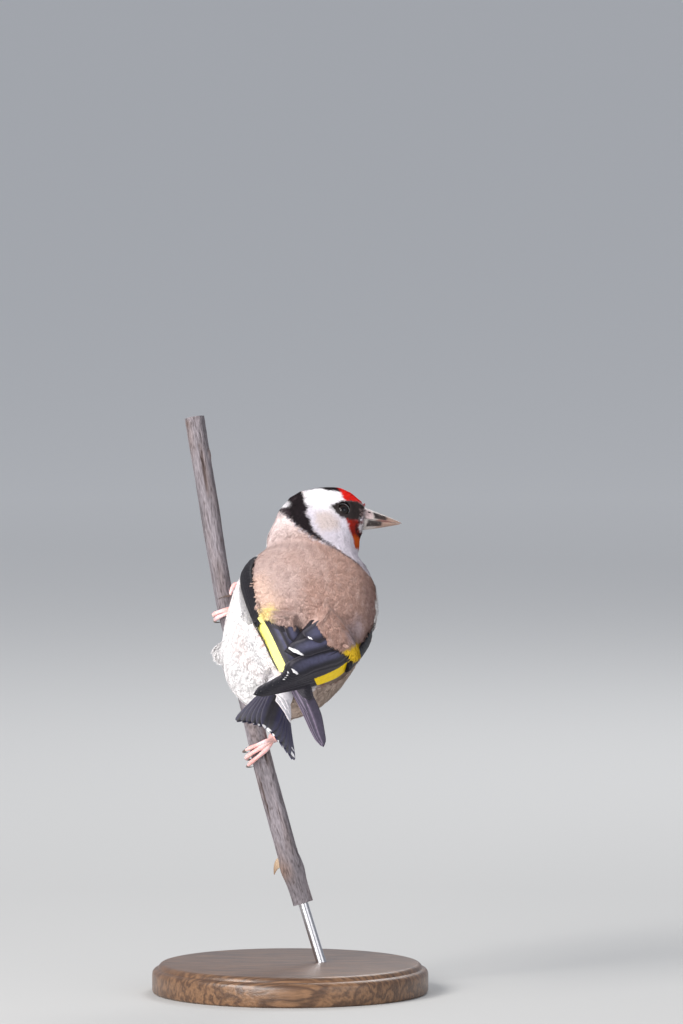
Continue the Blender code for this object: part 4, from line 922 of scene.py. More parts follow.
def smooth_over(mesh):
    """Shades the tufts' outer sides mostly as the skin under them is turned, so that they read as one."""
    outward = np.empty(len(mesh.vertices) * 3, np.float32)
    mesh.attributes["outward"].data.foreach_get("vector", outward)
    corners = np.empty(len(mesh.loops), np.int32)
    mesh.loops.foreach_get("vertex_index", corners)
    own = np.empty(len(mesh.polygons) * 3, np.float32)
    mesh.polygon_normals.foreach_get("vector", own)
    own = np.repeat(own.reshape(-1, 3), 3, axis=0)
    outward = unit(outward.reshape(-1, 3)[corners])
    facing = (own * outward).sum(1, keepdims=True)
    mesh.shade_smooth()
    blend = unit(outward * (1 - OWN_RELIEF) + own * OWN_RELIEF)
    mesh.normals_split_custom_set(np.where(facing > 0.05, blend, own))


def lay_coat(skin, finish):
    """Grows the whole coat, stretch by stretch."""
    tree, kinds = coat_tree(), tuft_collection()
    socket = {item.name: item.identifier for item in tree.interface.items_tree if item.in_out == "INPUT"}
    points = points_of(skin.data) / MM
    for index, (name, inside, spacing) in enumerate(coat_zones(points)):
        ground = place_object("ground", skin.data.copy())
        put(ground.data, "zone", "FLOAT", inside.astype(float))
        grow = ground.modifiers.new("grow", "NODES")
        grow.node_group = tree
        values = {"Tufts": kinds, "Spacing": spacing * MM, "Tilt": COAT_TILT, "Seed": COAT_SEED + index,
                  "Finish": finish}
        for key, value in values.items():
            grow[socket[key]] = value
        settle(ground)
        coat = place_object(f"coat_{name}", ground.data)
        bpy.data.objects.remove(ground)
        coat.data.materials.clear()
        coat.data.materials.append(finish)
        smooth_over(coat.data)
        spare = [held.name for held in coat.data.attributes
                 if not (held.name in KEPT_ATTRIBUTES or held.is_required or held.name.startswith("."))]
        for held in spare:
            coat.data.attributes.remove(coat.data.attributes[held])
        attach(coat, "root")
    for kind in list(kinds.objects):
        bpy.data.objects.remove(kind)


# Paths, sheets and feathers.
def smooth_path(points, share):
    """A point on the smooth curve through the points, evenly over its spans, straight on past its ends."""
    spans = len(points) - 1
    place = min(max(share, 0.0), 1.0) * spans
    index = min(int(place), spans - 1)
    t = place - index
    before, after = points[max(index - 1, 0)], points[min(index + 2, spans)]
    start, end = points[index], points[index + 1]
    on_curve = 0.5 * ((2 * start) + (end - before) * t + (2 * before - 5 * start + 4 * end - after) * t * t
                      + (3 * start - before - 3 * end + after) * t * t * t)
    if share < 0:
        return on_curve + (points[1] - points[0]) * share * spans
    if share > 1:
        return on_curve + (points[-1] - points[-2]) * (share - 1) * spans
    return on_curve


def between(values, share):
    """A number or a vector read from evenly spaced values."""
    place = min(max(share, 0.0), 1.0) * (len(values) - 1)
    index = min(int(place), len(values) - 2)
    return values[index] + (values[index + 1] - values[index]) * (place - index)


# Wing rails in the body's frame, each pair an outer and an inner edge: the strip of small coverts, then the
# folded feathers.
WINGS = {
    "right": {
        "strip": ([(19.8, 12.0, 0.5), (21.8, 5.0, 1.0), (20.4, -4.0, 1.5), (17.2, -15.6, 1.8)],
                  [(19.6, 11.0, 5.0), (20.8, 4.5, 6.2), (19.4, -5.5, 6.4), (16.0, -17.4, 6.5)]),
        "folded": ([(17.9, -12.5, 1.8), (15.0, -19.5, 1.0), (8.9, -31.0, 2.4), (-1.6, -45.0, 4.6),
                    (-11.2, -59.5, 7.7)],
                   [(-0.2, -15.8, 15.0), (-3.3, -25.9, 12.2), (-5.9, -35.1, 10.2), (-7.8, -47.0, 9.3),
                    (-11.8, -59.0, 8.6)]),
        "folded_bow": [0.24, 0.20, 0.15, 0.10, 0.05],
        "dip": 0.055,
        "facing": -1,
    },
    "left": {
        "strip": ([(-18.8, 18.0, 1.0), (-20.8, 8.0, 1.5), (-18.8, -4.0, 3.0), (-14.0, -17.6, 4.2)],
                  [(-18.6, 16.0, 5.6), (-20.2, 6.5, 6.4), (-18.2, -5.0, 7.4), (-13.3, -17.4, 7.0)]),
        "folded": ([(-14.6, -14.5, 3.6), (-11.0, -20.4, 3.8), (-4.6, -28.9, 2.4), (6.2, -38.6, -1.2),
                    (15.4, -53.0, -3.2)],
                   [(-2.2, -20.4, 11.0), (0.8, -25.5, 7.6), (4.6, -31.0, 4.4), (11.0, -39.4, 1.5),
                    (16.9, -52.0, -1.8)]),
        "folded_bow": [0.24, 0.20, 0.14, 0.10, 0.05],
        "dip": 0.03,
        "facing": 1,
    },
}
STRIP_BOW = [0.12, 0.12, 0.12]


def wing_surface(outer, inner, bows, facing, dip=0.0):
    """A sheet of the wing: a function of the share along it, the share across it and the lift off it."""
    outer = [Vector(point) for point in outer]
    inner = [Vector(point) for point in inner]
    last = len(outer) - 1
    outs = []
    for k in range(last + 1):
        ahead, behind = min(k + 1, last), max(k - 1, 0)
        run = outer[ahead] + inner[ahead] - outer[behind] - inner[behind]
        outs.append(run.cross(inner[k] - outer[k]).normalized() * facing)

    def point(along, across, lift):
        middling = 4 * across * (1 - across)
        along += dip * max(0.0, middling) * (1 - along)
        edge = smooth_path(outer, along)
        reach = smooth_path(inner, along) - edge
        out = between(outs, along).normalized()
        return edge + reach * across + out * (between(bows, along) * reach.length * middling + lift)

    return point


# A feather's mesh, its shaft and blade, and its root. Columns and the shaft's side and half width are shares
# of the feather's half width, a step is the height between layers, and the edge is ragged by a share.
VANE_ROWS = 40
VANE_COLUMNS = (-1.0, -0.82, -0.60, -0.39, -0.30, -0.21, 0.0, 0.25, 0.5, 0.75, 1.0)
SHAFT_SIDE, SHAFT_RISE, SHAFT_HALF = -0.30, 0.08, 0.08
VANE_FILM, VANE_STEP, VANE_TILT, VANE_CROWN, RAGGED = 0.10, 0.125, 0.15, 0.12, 0.02
ROOT_SINK, SINK_REACH = 1.3, 0.14


def vane_width(share, pointed):
    """The width of a feather along it, from its narrow root to its tip."""
    root = 0.42 + 0.58 * min(1.0, share / 0.30) ** 0.8
    start = 0.55 if pointed else 0.84
    end = max(0.0, (share - start) / (1 - start))
    return root * math.sqrt(max(0.0, 1 - end ** (1.9 if pointed else 2.4))) + 0.02


# A place on a feather: its shares along and across the sheet, its shares along and across the feather, then
# the sheet's span there, the feather's length and its half width in millimetres.
Place = collections.namedtuple("Place", "along at share side span long half")


def lay_vane(shape, surface, root, tip, half_width, layer, paint, pointed=False, tilt=VANE_TILT, lift=0.0,
             limits=(-0.03, 1.02), rows=VANE_ROWS, seed=0, sink=ROOT_SINK):
    """One feather on a sheet: a thin closed blade with a raised shaft, a ragged edge and a sunken root."""
    chance = np.random.default_rng(seed)
    rings, colours, maps, marks = [], [], [], []
    long = (surface(tip[0], tip[1], 0) - surface(root[0], root[1], 0)).length
    for k in range(rows + 1):
        share = k / rows
        share = share + 0.06 * math.sin(math.pi * share) * (1 - share)
        along = root[0] + (tip[0] - root[0]) * share
        across = root[1] + (tip[1] - root[1]) * share
        span = (surface(along, 1.0, 0.0) - surface(along, 0.0, 0.0)).length
        half = half_width * vane_width(share, pointed) / max(span, half_width)
        half *= 1 - RAGGED * chance.random()
        near, far = max(across - half, limits[0]), min(across + half, limits[1])
        height = lift + layer * VANE_STEP - sink * (1 - soft(share, 0.0, SINK_REACH))
        top, under, shades, places, depths = [], [], [], [], []
        for side in VANE_COLUMNS:
            at = near + (far - near) * (side + 1) / 2
            ridge = SHAFT_RISE * max(0.0, 1 - abs(side - SHAFT_SIDE) / SHAFT_HALF) * (1 - share)
            level = height - tilt * side + VANE_CROWN * (1 - side * side)
            top.append(BODY_FRAME @ surface(along, at, level + ridge))
            film = VANE_FILM * (1 - 0.5 * side * side)
            under.append(BODY_FRAME @ surface(along, at, level - film))
            shade, mark = paint(Place(along, at, share, side, span, long, half_width))
            shades.append(shade)
            depths.append(mark)
            places.append((side * half_width, share * long, 0.0))
        rings.append(top + under[::-1])
        colours.append(shades + shades[::-1])
        maps.append(places + places[::-1])
        marks.append(depths + depths[::-1])
    shape.add_rings(rings, colours, maps, marks=marks)


def blend3(first, second, share):
    share = min(max(share, 0.0), 1.0)
    return tuple(a + (b - a) * share for a, b in zip(first, second))


def soft(value, low, high):
    share = min(max((value - low) / (high - low), 0.0), 1.0)
    return share * share * (3 - 2 * share)


def window(value, low, high, over, out):
    """Rises softly from low to high, and falls again from over to out."""
    return soft(value, low, high) * (1 - soft(value, over, out))


def inside_oval(aside, along, half_aside, half_along):
    """How deep a place is inside an oval about zero, in millimetres; negative outside."""
    return (1 - math.hypot(aside / half_aside, along / half_along)) * min(half_aside, half_along)


def wing_paint(wing, tip=None, sheen_paint=0.0, ground=QUILL_BLACK):
    """Black with paler edges and a painted sheen, the yellow bar, and a white tip: its side, half width and half
    length.
    """
    start, end, reach = wing["bar"]

    def paint(place):
        edge = 0.5 * soft(abs(place.side), 0.80, 1.0)
        # Painted sheen: a bluish highlight across each glossy feather's middle, fading towards its tip.
        sheen = window(place.side, -0.6, 0.0, 0.3, 0.9) * (1 - 0.6 * soft(place.share, 0.6, 1.0))
        shade = blend3(ground, QUILL_PAINTED_SHEEN, sheen_paint * sheen)
        shade = blend3(shade, QUILL_EDGE, edge)
        # The left primaries' grey-violet ground is painted sheen; they also get a pale shaft and one pale edge.
        if ground is QUILL_SHEEN_GREY:
            shaft = 1 - soft(abs(place.side - SHAFT_SIDE), 0.05, 0.12)
            shade = blend3(shade, SHAFT_PALE, 0.8 * shaft * soft(place.share, 0.3, 0.5))
            shade = blend3(shade, SHAFT_PALE, 0.7 * soft(-place.side, 0.86, 0.96))
        yellow = min((place.along - start) * SHEET_LONG, (end - place.along) * SHEET_LONG,
                     (reach - place.at) * place.span)
        white = UNMARKED[1]
        if tip:
            aside = (place.side - tip[0]) * place.half
            white = inside_oval(aside, (1 - place.share) * place.long, tip[1], tip[2])
        return shade, (yellow, white, 0.0)
    return paint


def plain_paint(colour, edge, amount):
    def paint(place):
        paler = amount * soft(abs(place.side), 0.7, 1.0) + 0.2 * soft(place.share, 0.85, 1.0)
        return blend3(colour, edge, paler), UNMARKED
    return paint


# The folded wings' feathers: roots and tips as shares along the sheet and across it. A yellow bar is given by
# where it starts and ends along the sheet and how far it reaches across it, a white tip by its side, half
# width and half length, and a tertial by its root, tip, half width and white tip.
SHEET_LONG = 60.0
WINGS["right"].update({
    "bar": (0.0, 0.492, 0.195),
    "primary_tips": [(0.965, 0.30), (0.99, 0.44), (1.005, 0.55), (0.97, 0.60), (0.92, 0.62), (0.87, 0.62),
                     (0.815, 0.61), (0.76, 0.60)],
    "primary_white": (0.2, 0.40, 0.30),
    "primary_ground": QUILL_BLACK,
    "secondary_white": (0.1, 1.0, 0.8),
    "tertials": [((0.02, 0.38), (0.615, 0.63), 3.5, (0.0, 3.4, 1.3)),
                 ((0.0, 0.64), (0.455, 0.90), 3.5, (0.2, 4.2, 1.7)),
                 ((-0.02, 0.82), (0.235, 0.90), 2.8, (0.1, 1.1, 0.7))],
    "covert_reach": (0.13, 0.17),
})
WINGS["left"].update({
    "bar": (-0.12, 0.56, 0.27),
    "primary_tips": [(0.975, 0.40), (1.0, 0.56), (0.985, 0.70), (0.80, 0.26), (0.74, 0.50), (0.70, 0.60)],
    "primary_white": None,
    "primary_ground": QUILL_SHEEN_GREY,
    "secondary_white": None,
    "tertials": [((0.0, 0.50), (0.50, 0.62), 3.3, None),
                 ((-0.04, 0.70), (0.36, 0.86), 3.1, None),
                 ((-0.06, 0.86), (0.20, 0.92), 2.6, None)],
    "covert_reach": (0.09, 0.13),
})
PRIMARY_ROOTS, PRIMARY_HALF, PRIMARY_SINK = ((-0.03, 0.07), (-0.03, 0.28)), 2.9, 0.3
SECONDARY_ROOTS, SECONDARY_HALF = ((0.04, 0.26), (0.04, 0.48)), 3.0
SECONDARY_TIPS = [(0.715, 0.60), (0.695, 0.63), (0.675, 0.66), (0.655, 0.71)]
COVERTS, COVERT_SPAN, COVERT_HALF, COVERT_LAYER = 7, (0.27, 0.62), 1.9, 9.5
WIDE_LIMITS = (-0.45, 1.10)
WING_SEEDS = {"left": 500, "right": 700}
# The beds under a wing's feathers: their stretches along and across the sheet, their lower and upper height.
STRIP_BED, FOLDED_BED = ((0.0, 1.0), (0.0, 1.0), -1.3, 0.1), ((0.02, 0.42), (0.06, 0.96), -1.9, -0.7)


def make_wing(side, finish):
    """A folded wing in its tiers: small coverts, primaries, secondaries, tertials and greater coverts."""
    wing = WINGS[side]
    strip = wing_surface(*wing["strip"], STRIP_BOW, wing["facing"])
    folded = wing_surface(*wing["folded"], wing["folded_bow"], wing["facing"], wing["dip"])
    shape = Shape()
    bed(shape, strip, *STRIP_BED)
    bed(shape, folded, *FOLDED_BED)
    seed = WING_SEEDS[side]

    def row(roots, tips, half, layer, paint, **more):
        for k, tip in enumerate(tips):
            step = k / (len(tips) - 1)
            root = tuple(a + (b - a) * step for a, b in zip(*roots))
            lay_vane(shape, folded, root, tip, half, layer + k, paint, seed=seed + 7 * layer + k, **more)

    row(PRIMARY_ROOTS, wing["primary_tips"], PRIMARY_HALF, 0,
        wing_paint(wing, wing["primary_white"], ground=wing["primary_ground"]), pointed=True,
        limits=WIDE_LIMITS, sink=PRIMARY_SINK)
    layer = len(wing["primary_tips"])
    row(SECONDARY_ROOTS, SECONDARY_TIPS, SECONDARY_HALF, layer, wing_paint(wing, wing["secondary_white"]))
    layer += len(SECONDARY_TIPS)
    for k, (root, tip, half, white) in enumerate(wing["tertials"]):
        paint = wing_paint(wing, white, sheen_paint=0.8)
        lay_vane(shape, folded, root, tip, half, layer + 1.3 * k, paint, seed=seed + 90 + k)
    for k in range(COVERTS):
        step = k / (COVERTS - 1)
        place = COVERT_SPAN[0] + (COVERT_SPAN[1] - COVERT_SPAN[0]) * step
        reach = wing["covert_reach"][0] + (wing["covert_reach"][1] - wing["covert_reach"][0]) * step
        lay_vane(shape, folded, (-0.05, place - 0.01), (reach, place), COVERT_HALF, COVERT_LAYER + 0.8 * k,
                 wing_paint(wing), rows=16, tilt=0.2, seed=seed + 120 + k, sink=0.9)
    lay_coverts(shape, strip, seed + 200)
    made = shape.build(f"wing_feathers_{side}", finish)
    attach(made, "root")
    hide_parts(f"wing_{side}")
    return made


BED_STEPS, BED_COLUMNS = 24, 8


def bed(shape, surface, along_range, across_range, low, high):
    """A closed bed under the feathers, over a stretch of the sheet."""
    rings = []
    for k in range(BED_STEPS + 1):
        along = along_range[0] + (along_range[1] - along_range[0]) * k / BED_STEPS
        shares = [across_range[0] + (across_range[1] - across_range[0]) * i / BED_COLUMNS
                  for i in range(BED_COLUMNS + 1)]
        ring = [BODY_FRAME @ surface(along, share, high) for share in shares]
        ring += [BODY_FRAME @ surface(along, share, low) for share in reversed(shares)]
        rings.append(ring)
    shape.add_rings(rings, QUILL_BLACK)


STRIP_ROWS, STRIP_COLUMNS, STRIP_BLACK = 17, 5, (0.010, 0.009, 0.012)


def lay_coverts(shape, strip, seed):
    """The strip's small black coverts in overlapping rows."""
    chance = np.random.default_rng(seed)
    paint = plain_paint(STRIP_BLACK, QUILL_BLACK, 0.5)
    for k in range(STRIP_ROWS):
        for i in range(STRIP_COLUMNS):
            along = (k + 0.5 * (i % 2)) / STRIP_ROWS * 0.94 + chance.uniform(-0.01, 0.01)
            at = 0.08 + 0.84 * i / (STRIP_COLUMNS - 1)
            tip = (min(along + 0.12, 1.03), at + chance.uniform(-0.04, 0.04))
            lay_vane(shape, strip, (along - 0.03, at), tip, 1.3, 0.6, paint, rows=8, tilt=0.05,
                     lift=0.15 + 0.25 * (k % 2), limits=(-0.10, 1.10), seed=seed + 31 * k + i, sink=0.5)


# The shoulder feathers over the wings' bases: pads on the sheets, which the skin takes in, so that the
# mantle's coat runs on over the quills and ends on them in a ragged edge. Each edge is given by shares across
# the sheet and along it. Lifts are heights over the sheet at shares of the way from the pad's start to its edge.
MANTLE_EDGES = {
    "right": ((0.0, 0.2, 0.3, 0.5, 0.68, 0.93, 1.0), (0.04, 0.065, 0.09, 0.15, 0.18, 0.13, 0.10)),
    "left": ((0.0, 0.3, 0.5, 1.0), (-0.08, 0.0, 0.01, 0.01)),
}
PAD_START, PAD_OVERHANG, PAD_RINGS, PAD_COLUMNS = -0.28, 0.03, 9, 14
PAD_ACROSS = {"right": (0.10, 0.98), "left": (0.26, 0.98)}
PAD_LIFTS, PAD_DEPTH = ((0.0, 0.25, 0.5, 0.75, 1.0), (-3.0, 0.2, 2.1, 2.9, 2.8)), -6.0


def pad_rings(side):
    """The pad's rings in the body's frame, from the mantle to its edge on the wing."""
    wing = WINGS[side]
    folded = wing_surface(*wing["folded"], wing["folded_bow"], wing["facing"], wing["dip"])
    low_side, high_side = PAD_ACROSS[side]
    rings = []
    for k in range(PAD_RINGS):
        step = k / (PAD_RINGS - 1)
        top, low = [], []
        for i in range(PAD_COLUMNS + 1):
            at = low_side + (high_side - low_side) * i / PAD_COLUMNS
            edge = float(np.interp(at, *MANTLE_EDGES[side])) - PAD_OVERHANG
            along = PAD_START + (edge - PAD_START) * step
            top.append(folded(along, at, float(np.interp(step, *PAD_LIFTS))))
            low.append(folded(along, at, PAD_DEPTH))
        rings.append((top, low))
    return rings


# The tail, in the body's frame.
TAIL_ROOT = Vector((-0.3, -30.0, -3.2))
TAIL_LEFT_TIP, TAIL_NOTCH = Vector((-13.6, -70.0, 4.0)), Vector((-4.0, -66.0, 2.6))
TAIL_RIGHT_TIP = Vector((5.9, -74.0, 2.8))
TAIL_ROOT_WIDTH, TAIL_ARCH = 4.4, 1.6
TAIL_FEATHERS, TAIL_HALF, TAIL_END, TAIL_SEED = 12, 2.7, 0.995, 900
TAIL_BLUE, TAIL_LIMITS = (0.036, 0.034, 0.10), (-0.4, 1.4)
# The white coverts over and under the tail's root, in tiers.
TIERS, TIER_FEATHERS, TIER_HALF, TIER_SEED, TIER_CHANCE = 5, 9, 1.9, 950, 77
# White on single tail feathers: the side and the share along it, then its half width and half length.
TAIL_SPOTS = {
    0: ((0.4, 0.62, 1.2, 6.0),),
    1: ((0.4, 0.70, 1.0, 5.0),),
    10: ((-0.4, 0.70, 1.0, 3.0),),
    11: ((0.45, 0.765, 1.6, 0.7), (0.35, 0.885, 1.5, 1.8)),
}


def tail_spread(share):
    """The tip of the tail feather that is this share of the way from the left one to the right one."""
    across = TAIL_LEFT_TIP.lerp(TAIL_RIGHT_TIP, share)
    depth = TAIL_NOTCH - TAIL_LEFT_TIP.lerp(TAIL_RIGHT_TIP, 0.5)
    return across + depth * (1 - abs(2 * share - 1) ** 1.5)


def tail_surface(along, across, lift):
    """The tail's sheet, from its root to the feathers' ends and from its left edge to its right one."""
    level = (TAIL_RIGHT_TIP - TAIL_LEFT_TIP).normalized()
    out = level.cross((TAIL_NOTCH - TAIL_ROOT).normalized()).normalized()
    if out.z < 0:
        out.negate()
    root = TAIL_ROOT + level * TAIL_ROOT_WIDTH * (across - 0.5)
    arch = TAIL_ARCH * (1 - abs(2 * across - 1) ** 2) * (1 - along) - 1.2 * math.sin(math.pi * along)
    return root.lerp(tail_spread(across), along) + out * (arch + lift)


def tail_paint(index):
    """Blue-black with a pale edge, white tips in the middle, and white in the outer feathers' inner webs."""
    share = index / (TAIL_FEATHERS - 1)
    inner = 1 - abs(2 * share - 1)

    def paint(place):
        shade = blend3(QUILL_BLACK, TAIL_BLUE, 0.7 * soft(abs(place.side), 0.1, 0.8))
        shade = blend3(shade, QUILL_EDGE, 0.7 * soft(abs(place.side), 0.86, 1.0))
        white = inside_oval((place.side + 0.1) * place.half, (1 - place.share) * place.long,
                            2.6 * inner ** 2 + 0.3, 2.4 * inner ** 2 + 0.2)
        for side, spot, half_aside, half_along in TAIL_SPOTS.get(index, ()):
            aside = (place.side - side) * place.half
            white = max(white, inside_oval(aside, (place.share - spot) * place.long, half_aside, half_along))
        return shade, (UNMARKED[0], white, 0.0)
    return paint


def make_tail(finish):
    """Twelve fanned feathers under their white coverts."""
    shape = Shape()
    for k in range(TAIL_FEATHERS):
        share = k / (TAIL_FEATHERS - 1)
        inner = 1 - abs(2 * share - 1)
        tilt = math.copysign(0.2, 0.5 - share)
        lay_vane(shape, tail_surface, (0.06, 0.12 + 0.76 * share), (TAIL_END, share), TAIL_HALF, 6 * inner,
                 tail_paint(k), pointed=True, tilt=tilt, limits=TAIL_LIMITS, seed=TAIL_SEED + k, sink=0.0)
    chance = np.random.default_rng(TIER_CHANCE)
    white = plain_paint(WHITE, BELLY_BUFF, 0.15)
    for tier in range(TIERS):
        for k in range(TIER_FEATHERS):
            share = 0.04 + 0.92 * k / (TIER_FEATHERS - 1) + chance.uniform(-0.04, 0.04)
            reach = 0.14 + 0.07 * tier + chance.uniform(-0.02, 0.02)
            over = min(reach, 0.24 + 0.20 * soft(share, 0.35, 0.75) + chance.uniform(-0.02, 0.02))
            for end, lift in ((over, 1.35 - 0.12 * tier), (reach + 0.06, -1.4 + 0.1 * tier)):
                tip = (end, share + chance.uniform(-0.04, 0.04))
                lay_vane(shape, tail_surface, (end - 0.19, share), tip, TIER_HALF, 0, white, rows=10,
                         tilt=0.08, lift=lift, limits=TAIL_LIMITS, seed=TIER_SEED + 10 * tier + k, sink=0.3)
    stub_ring(shape)
    made = shape.build("tail_feathers", finish)
    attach(made, "root")
    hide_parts("tail")
    return made


def egg_rings(frame_of, middle, radii, rows, sides):
    """The rings of an egg shape in a frame, from its front end to its back end."""
    rings = []
    for k in range(1, rows):
        polar = math.pi * k / rows
        wide, ahead, deep = radii[0] * math.sin(polar), radii[1] * math.cos(polar), radii[2] * math.sin(polar)
        rings.append([frame_of @ (middle + Vector((wide * math.cos(a), ahead, deep * math.sin(a))))
                      for a in round_angles(sides)])
    return rings


def stub_ring(shape):
    """The tail's fleshy root under the coverts."""
    middle, radii = TAIL_ROOT + Vector((-0.4, -5.0, 0.2)), Vector((4.6, 8.4, 3.6))
    shape.add_rings(egg_rings(BODY_FRAME, middle, radii, 16, 24), WHITE)


# The bill, in the head's frame.
BILL_ROOT, BILL_LENGTH = Vector((0.0, 10.4, -0.3)), 13.2
BILL_HALF_WIDTH, BILL_RISE, BILL_DROP, BILL_DIP, BILL_SEAM = 3.1, 3.6, 3.5, -0.25, 0.066
NOSTRIL, NOSTRIL_RADII, NOSTRIL_DARK = (1.95, 12.7, 1.75), (0.28, 0.62, 0.3), (0.03, 0.02, 0.02)
HORN_PINK = (0.29, 0.19, 0.15)
HORN_PALE = (0.43, 0.39, 0.37)
HORN_RUST = (0.22, 0.075, 0.06)
HORN_SMUDGE = (0.018, 0.010, 0.009)
HORN_GREY = (0.30, 0.29, 0.28)


def bill_paint(upper, share, angle, jitter):
    """Pinkish horn with dark smudges on its sides, a grey ridge and a bristly pink root."""
    level = math.sin(angle)
    base = blend3(HORN_PALE, HORN_PINK, soft(share, 0.25, 0.55))
    if upper:
        ridge = soft(level, 0.80, 0.95)
        base = blend3(base, BRISTLE_PINK, 0.8 * (1 - soft(share, 0.20, 0.32)) * (1 - ridge))
        base = blend3(base, HORN_GREY, 0.6 * ridge * window(share, 0.2, 0.3, 0.5, 0.75))
        smudge = window(share, 0.27, 0.33, 0.56, 0.68) * window(level, 0.06, 0.2, 0.74, 0.90)
        rust = window(share, 0.35, 0.5, 0.66, 0.8) * (1 - soft(level, 0.10, 0.25))
    else:
        smudge = window(share, 0.13, 0.18, 0.48, 0.58) * window(level, 0.02, 0.12, 0.66, 0.82)
        rust = window(share, 0.3, 0.45, 0.60, 0.8) * (1 - soft(level, 0.05, 0.2))
    base = blend3(base, HORN_RUST, 0.8 * rust)
    return blend3(base, HORN_SMUDGE, min(1.0, smudge * (1.1 + 0.4 * jitter)))


def half_bill(upper, finish):
    """One mandible, with a curved back, a smooth cutting edge and a rounded point."""
    sign, rise = (1.0, BILL_RISE) if upper else (-1.0, BILL_DROP)
    steps, sides = 44, 30
    arc = [math.pi * i / (sides - 1) for i in range(sides)]
    long = BILL_LENGTH * (1.0 if upper else 0.975)
    rings, colours, maps = [], [], []
    for k in range(steps + 1):
        share = min(1 - (1 - k / steps) ** 1.25, 0.996)
        size = (1 - share) ** (0.82 if upper else 0.9)
        middle = BILL_ROOT + Vector((0, long * share, -BILL_DIP * share ** 2))
        wide, tall = BILL_HALF_WIDTH * size + 0.10, rise * size + 0.10
        ring, shades = [], []
        for a in arc:
            keel = 1 + 0.05 * max(0.0, math.sin(a)) ** 6
            point = middle + Vector((wide * math.cos(a) * (0.93 + 0.07 * math.sin(a)), 0,
                                     sign * (BILL_SEAM + (tall - BILL_SEAM) * math.sin(a) * keel)))
            ring.append(HEAD_FRAME @ point)
            jitter = noise.noise(point * 0.9) + 0.5 * noise.noise(point * 2.3)
            shades.append(bill_paint(upper, share + 0.025 * jitter, a, jitter))
        rings.append(ring)
        colours.append(shades)
        maps.append([(0.0, share * long, 0.0)] * sides)
    shape = Shape()
    shape.add_rings(rings, colours, maps)
    word = "upper" if upper else "lower"
    made = shape.build(f"bill_horn_{word}", finish)
    crisp_edges(made, 50)
    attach(made, "root")
    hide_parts(f"bill_{word}")
    return made


def nostrils(finish):
    """The slits at the upper mandible's root, half hidden by bristles."""
    shape = Shape()
    for side in (1, -1):
        middle = Vector((NOSTRIL[0] * side, NOSTRIL[1], NOSTRIL[2]))
        shape.add_rings(egg_rings(HEAD_FRAME, middle, NOSTRIL_RADII, 8, 12), NOSTRIL_DARK)
    made = shape.build("nostrils", finish)
    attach(made, "root")


# Eyes and lids.
IRIS, PUPIL, EYE_RIM = (0.010, 0.006, 0.005), (0.002, 0.002, 0.003), (0.004, 0.004, 0.004)
LID_OUT, LID_RADIUS, LID_HALF, LID_BEADS = 0.86, 1.98, 0.17, 26
LID_COLOUR, LID_LIGHT = (0.085, 0.08, 0.085), (0.20, 0.19, 0.19)


def eye_axes(side):
    """The eye's middle and its outward, sideways and upward directions, in the head's frame."""
    middle = Vector((EYE_MIDDLE.x * side, EYE_MIDDLE.y, EYE_MIDDLE.z)) + EYE_SHIFT
    out = Vector((side, 0.16, 0.06)).normalized()
    ahead = (Vector((0, 1, 0)) - out * out.y).normalized()
    return middle, out, ahead, out.cross(ahead).normalized() * side


def make_eye(side, finish):
    """A glossy dark eye with a rounded cornea."""
    word = "right" if side > 0 else "left"
    middle, out, ahead, up = eye_axes(side)
    rings, colours = [], []
    rows, sides = 40, 48
    for k in range(rows + 1):
        polar = 0.03 + (math.pi - 0.06) * k / rows
        radius = EYE_RADIUS * (1 + 0.03 * math.exp(-(polar / 0.55) ** 2)) - 0.04
        shade = blend3(PUPIL, IRIS, soft(polar, 0.34, 0.40))
        shade = blend3(shade, EYE_RIM, soft(polar, 0.80, 0.95))
        rings.append([HEAD_FRAME @ (middle + out * radius * math.cos(polar) + radius * math.sin(polar)
                                    * (math.cos(a) * ahead + math.sin(a) * up))
                      for a in round_angles(sides)])
        colours.append([shade] * sides)
    shape = Shape()
    shape.add_rings(rings, colours)
    made = shape.build(f"eye_ball_{word}", finish)
    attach(made, "root")
    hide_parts(f"eye_{word}")


def make_lids(finish):
    """A ring of tiny beads round each eye, drawn to a point in front and behind."""
    shape = Shape()
    for side in (1, -1):
        middle, out, ahead, up = eye_axes(side)
        rings, colours = [], []
        steps, sides = 84, 12
        for angle in round_angles(steps):
            bead = 1 + 0.16 * math.cos(angle * LID_BEADS)
            stretch = 1 + 0.10 * abs(math.cos(angle)) ** 8
            spoke = math.cos(angle) * ahead * stretch + math.sin(angle) * up * 0.97
            base = middle + out * LID_OUT + spoke * LID_RADIUS
            way, half = spoke.normalized(), LID_HALF * bead
            rings.append([HEAD_FRAME @ (base + half * (math.cos(b) * way + math.sin(b) * 1.25 * out))
                          for b in round_angles(sides)])
            colours.append([blend3(LID_COLOUR, LID_LIGHT, 0.5 + 0.5 * math.cos(angle * LID_BEADS))] * sides)
        rings.append(rings[0])
        colours.append(colours[0])
        shape.add_rings(rings, colours, caps=False)
    made = shape.build("eye_lids", finish)
    weld(made)
    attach(made, "root")


def weld(thing):
    """Merges a seam's doubled points."""
    work = bmesh.new()
    work.from_mesh(thing.data)
    bmesh.ops.remove_doubles(work, verts=work.verts, dist=2e-6)
    bmesh.ops.recalc_face_normals(work, faces=work.faces)
    work.to_mesh(thing.data)
    work.free()


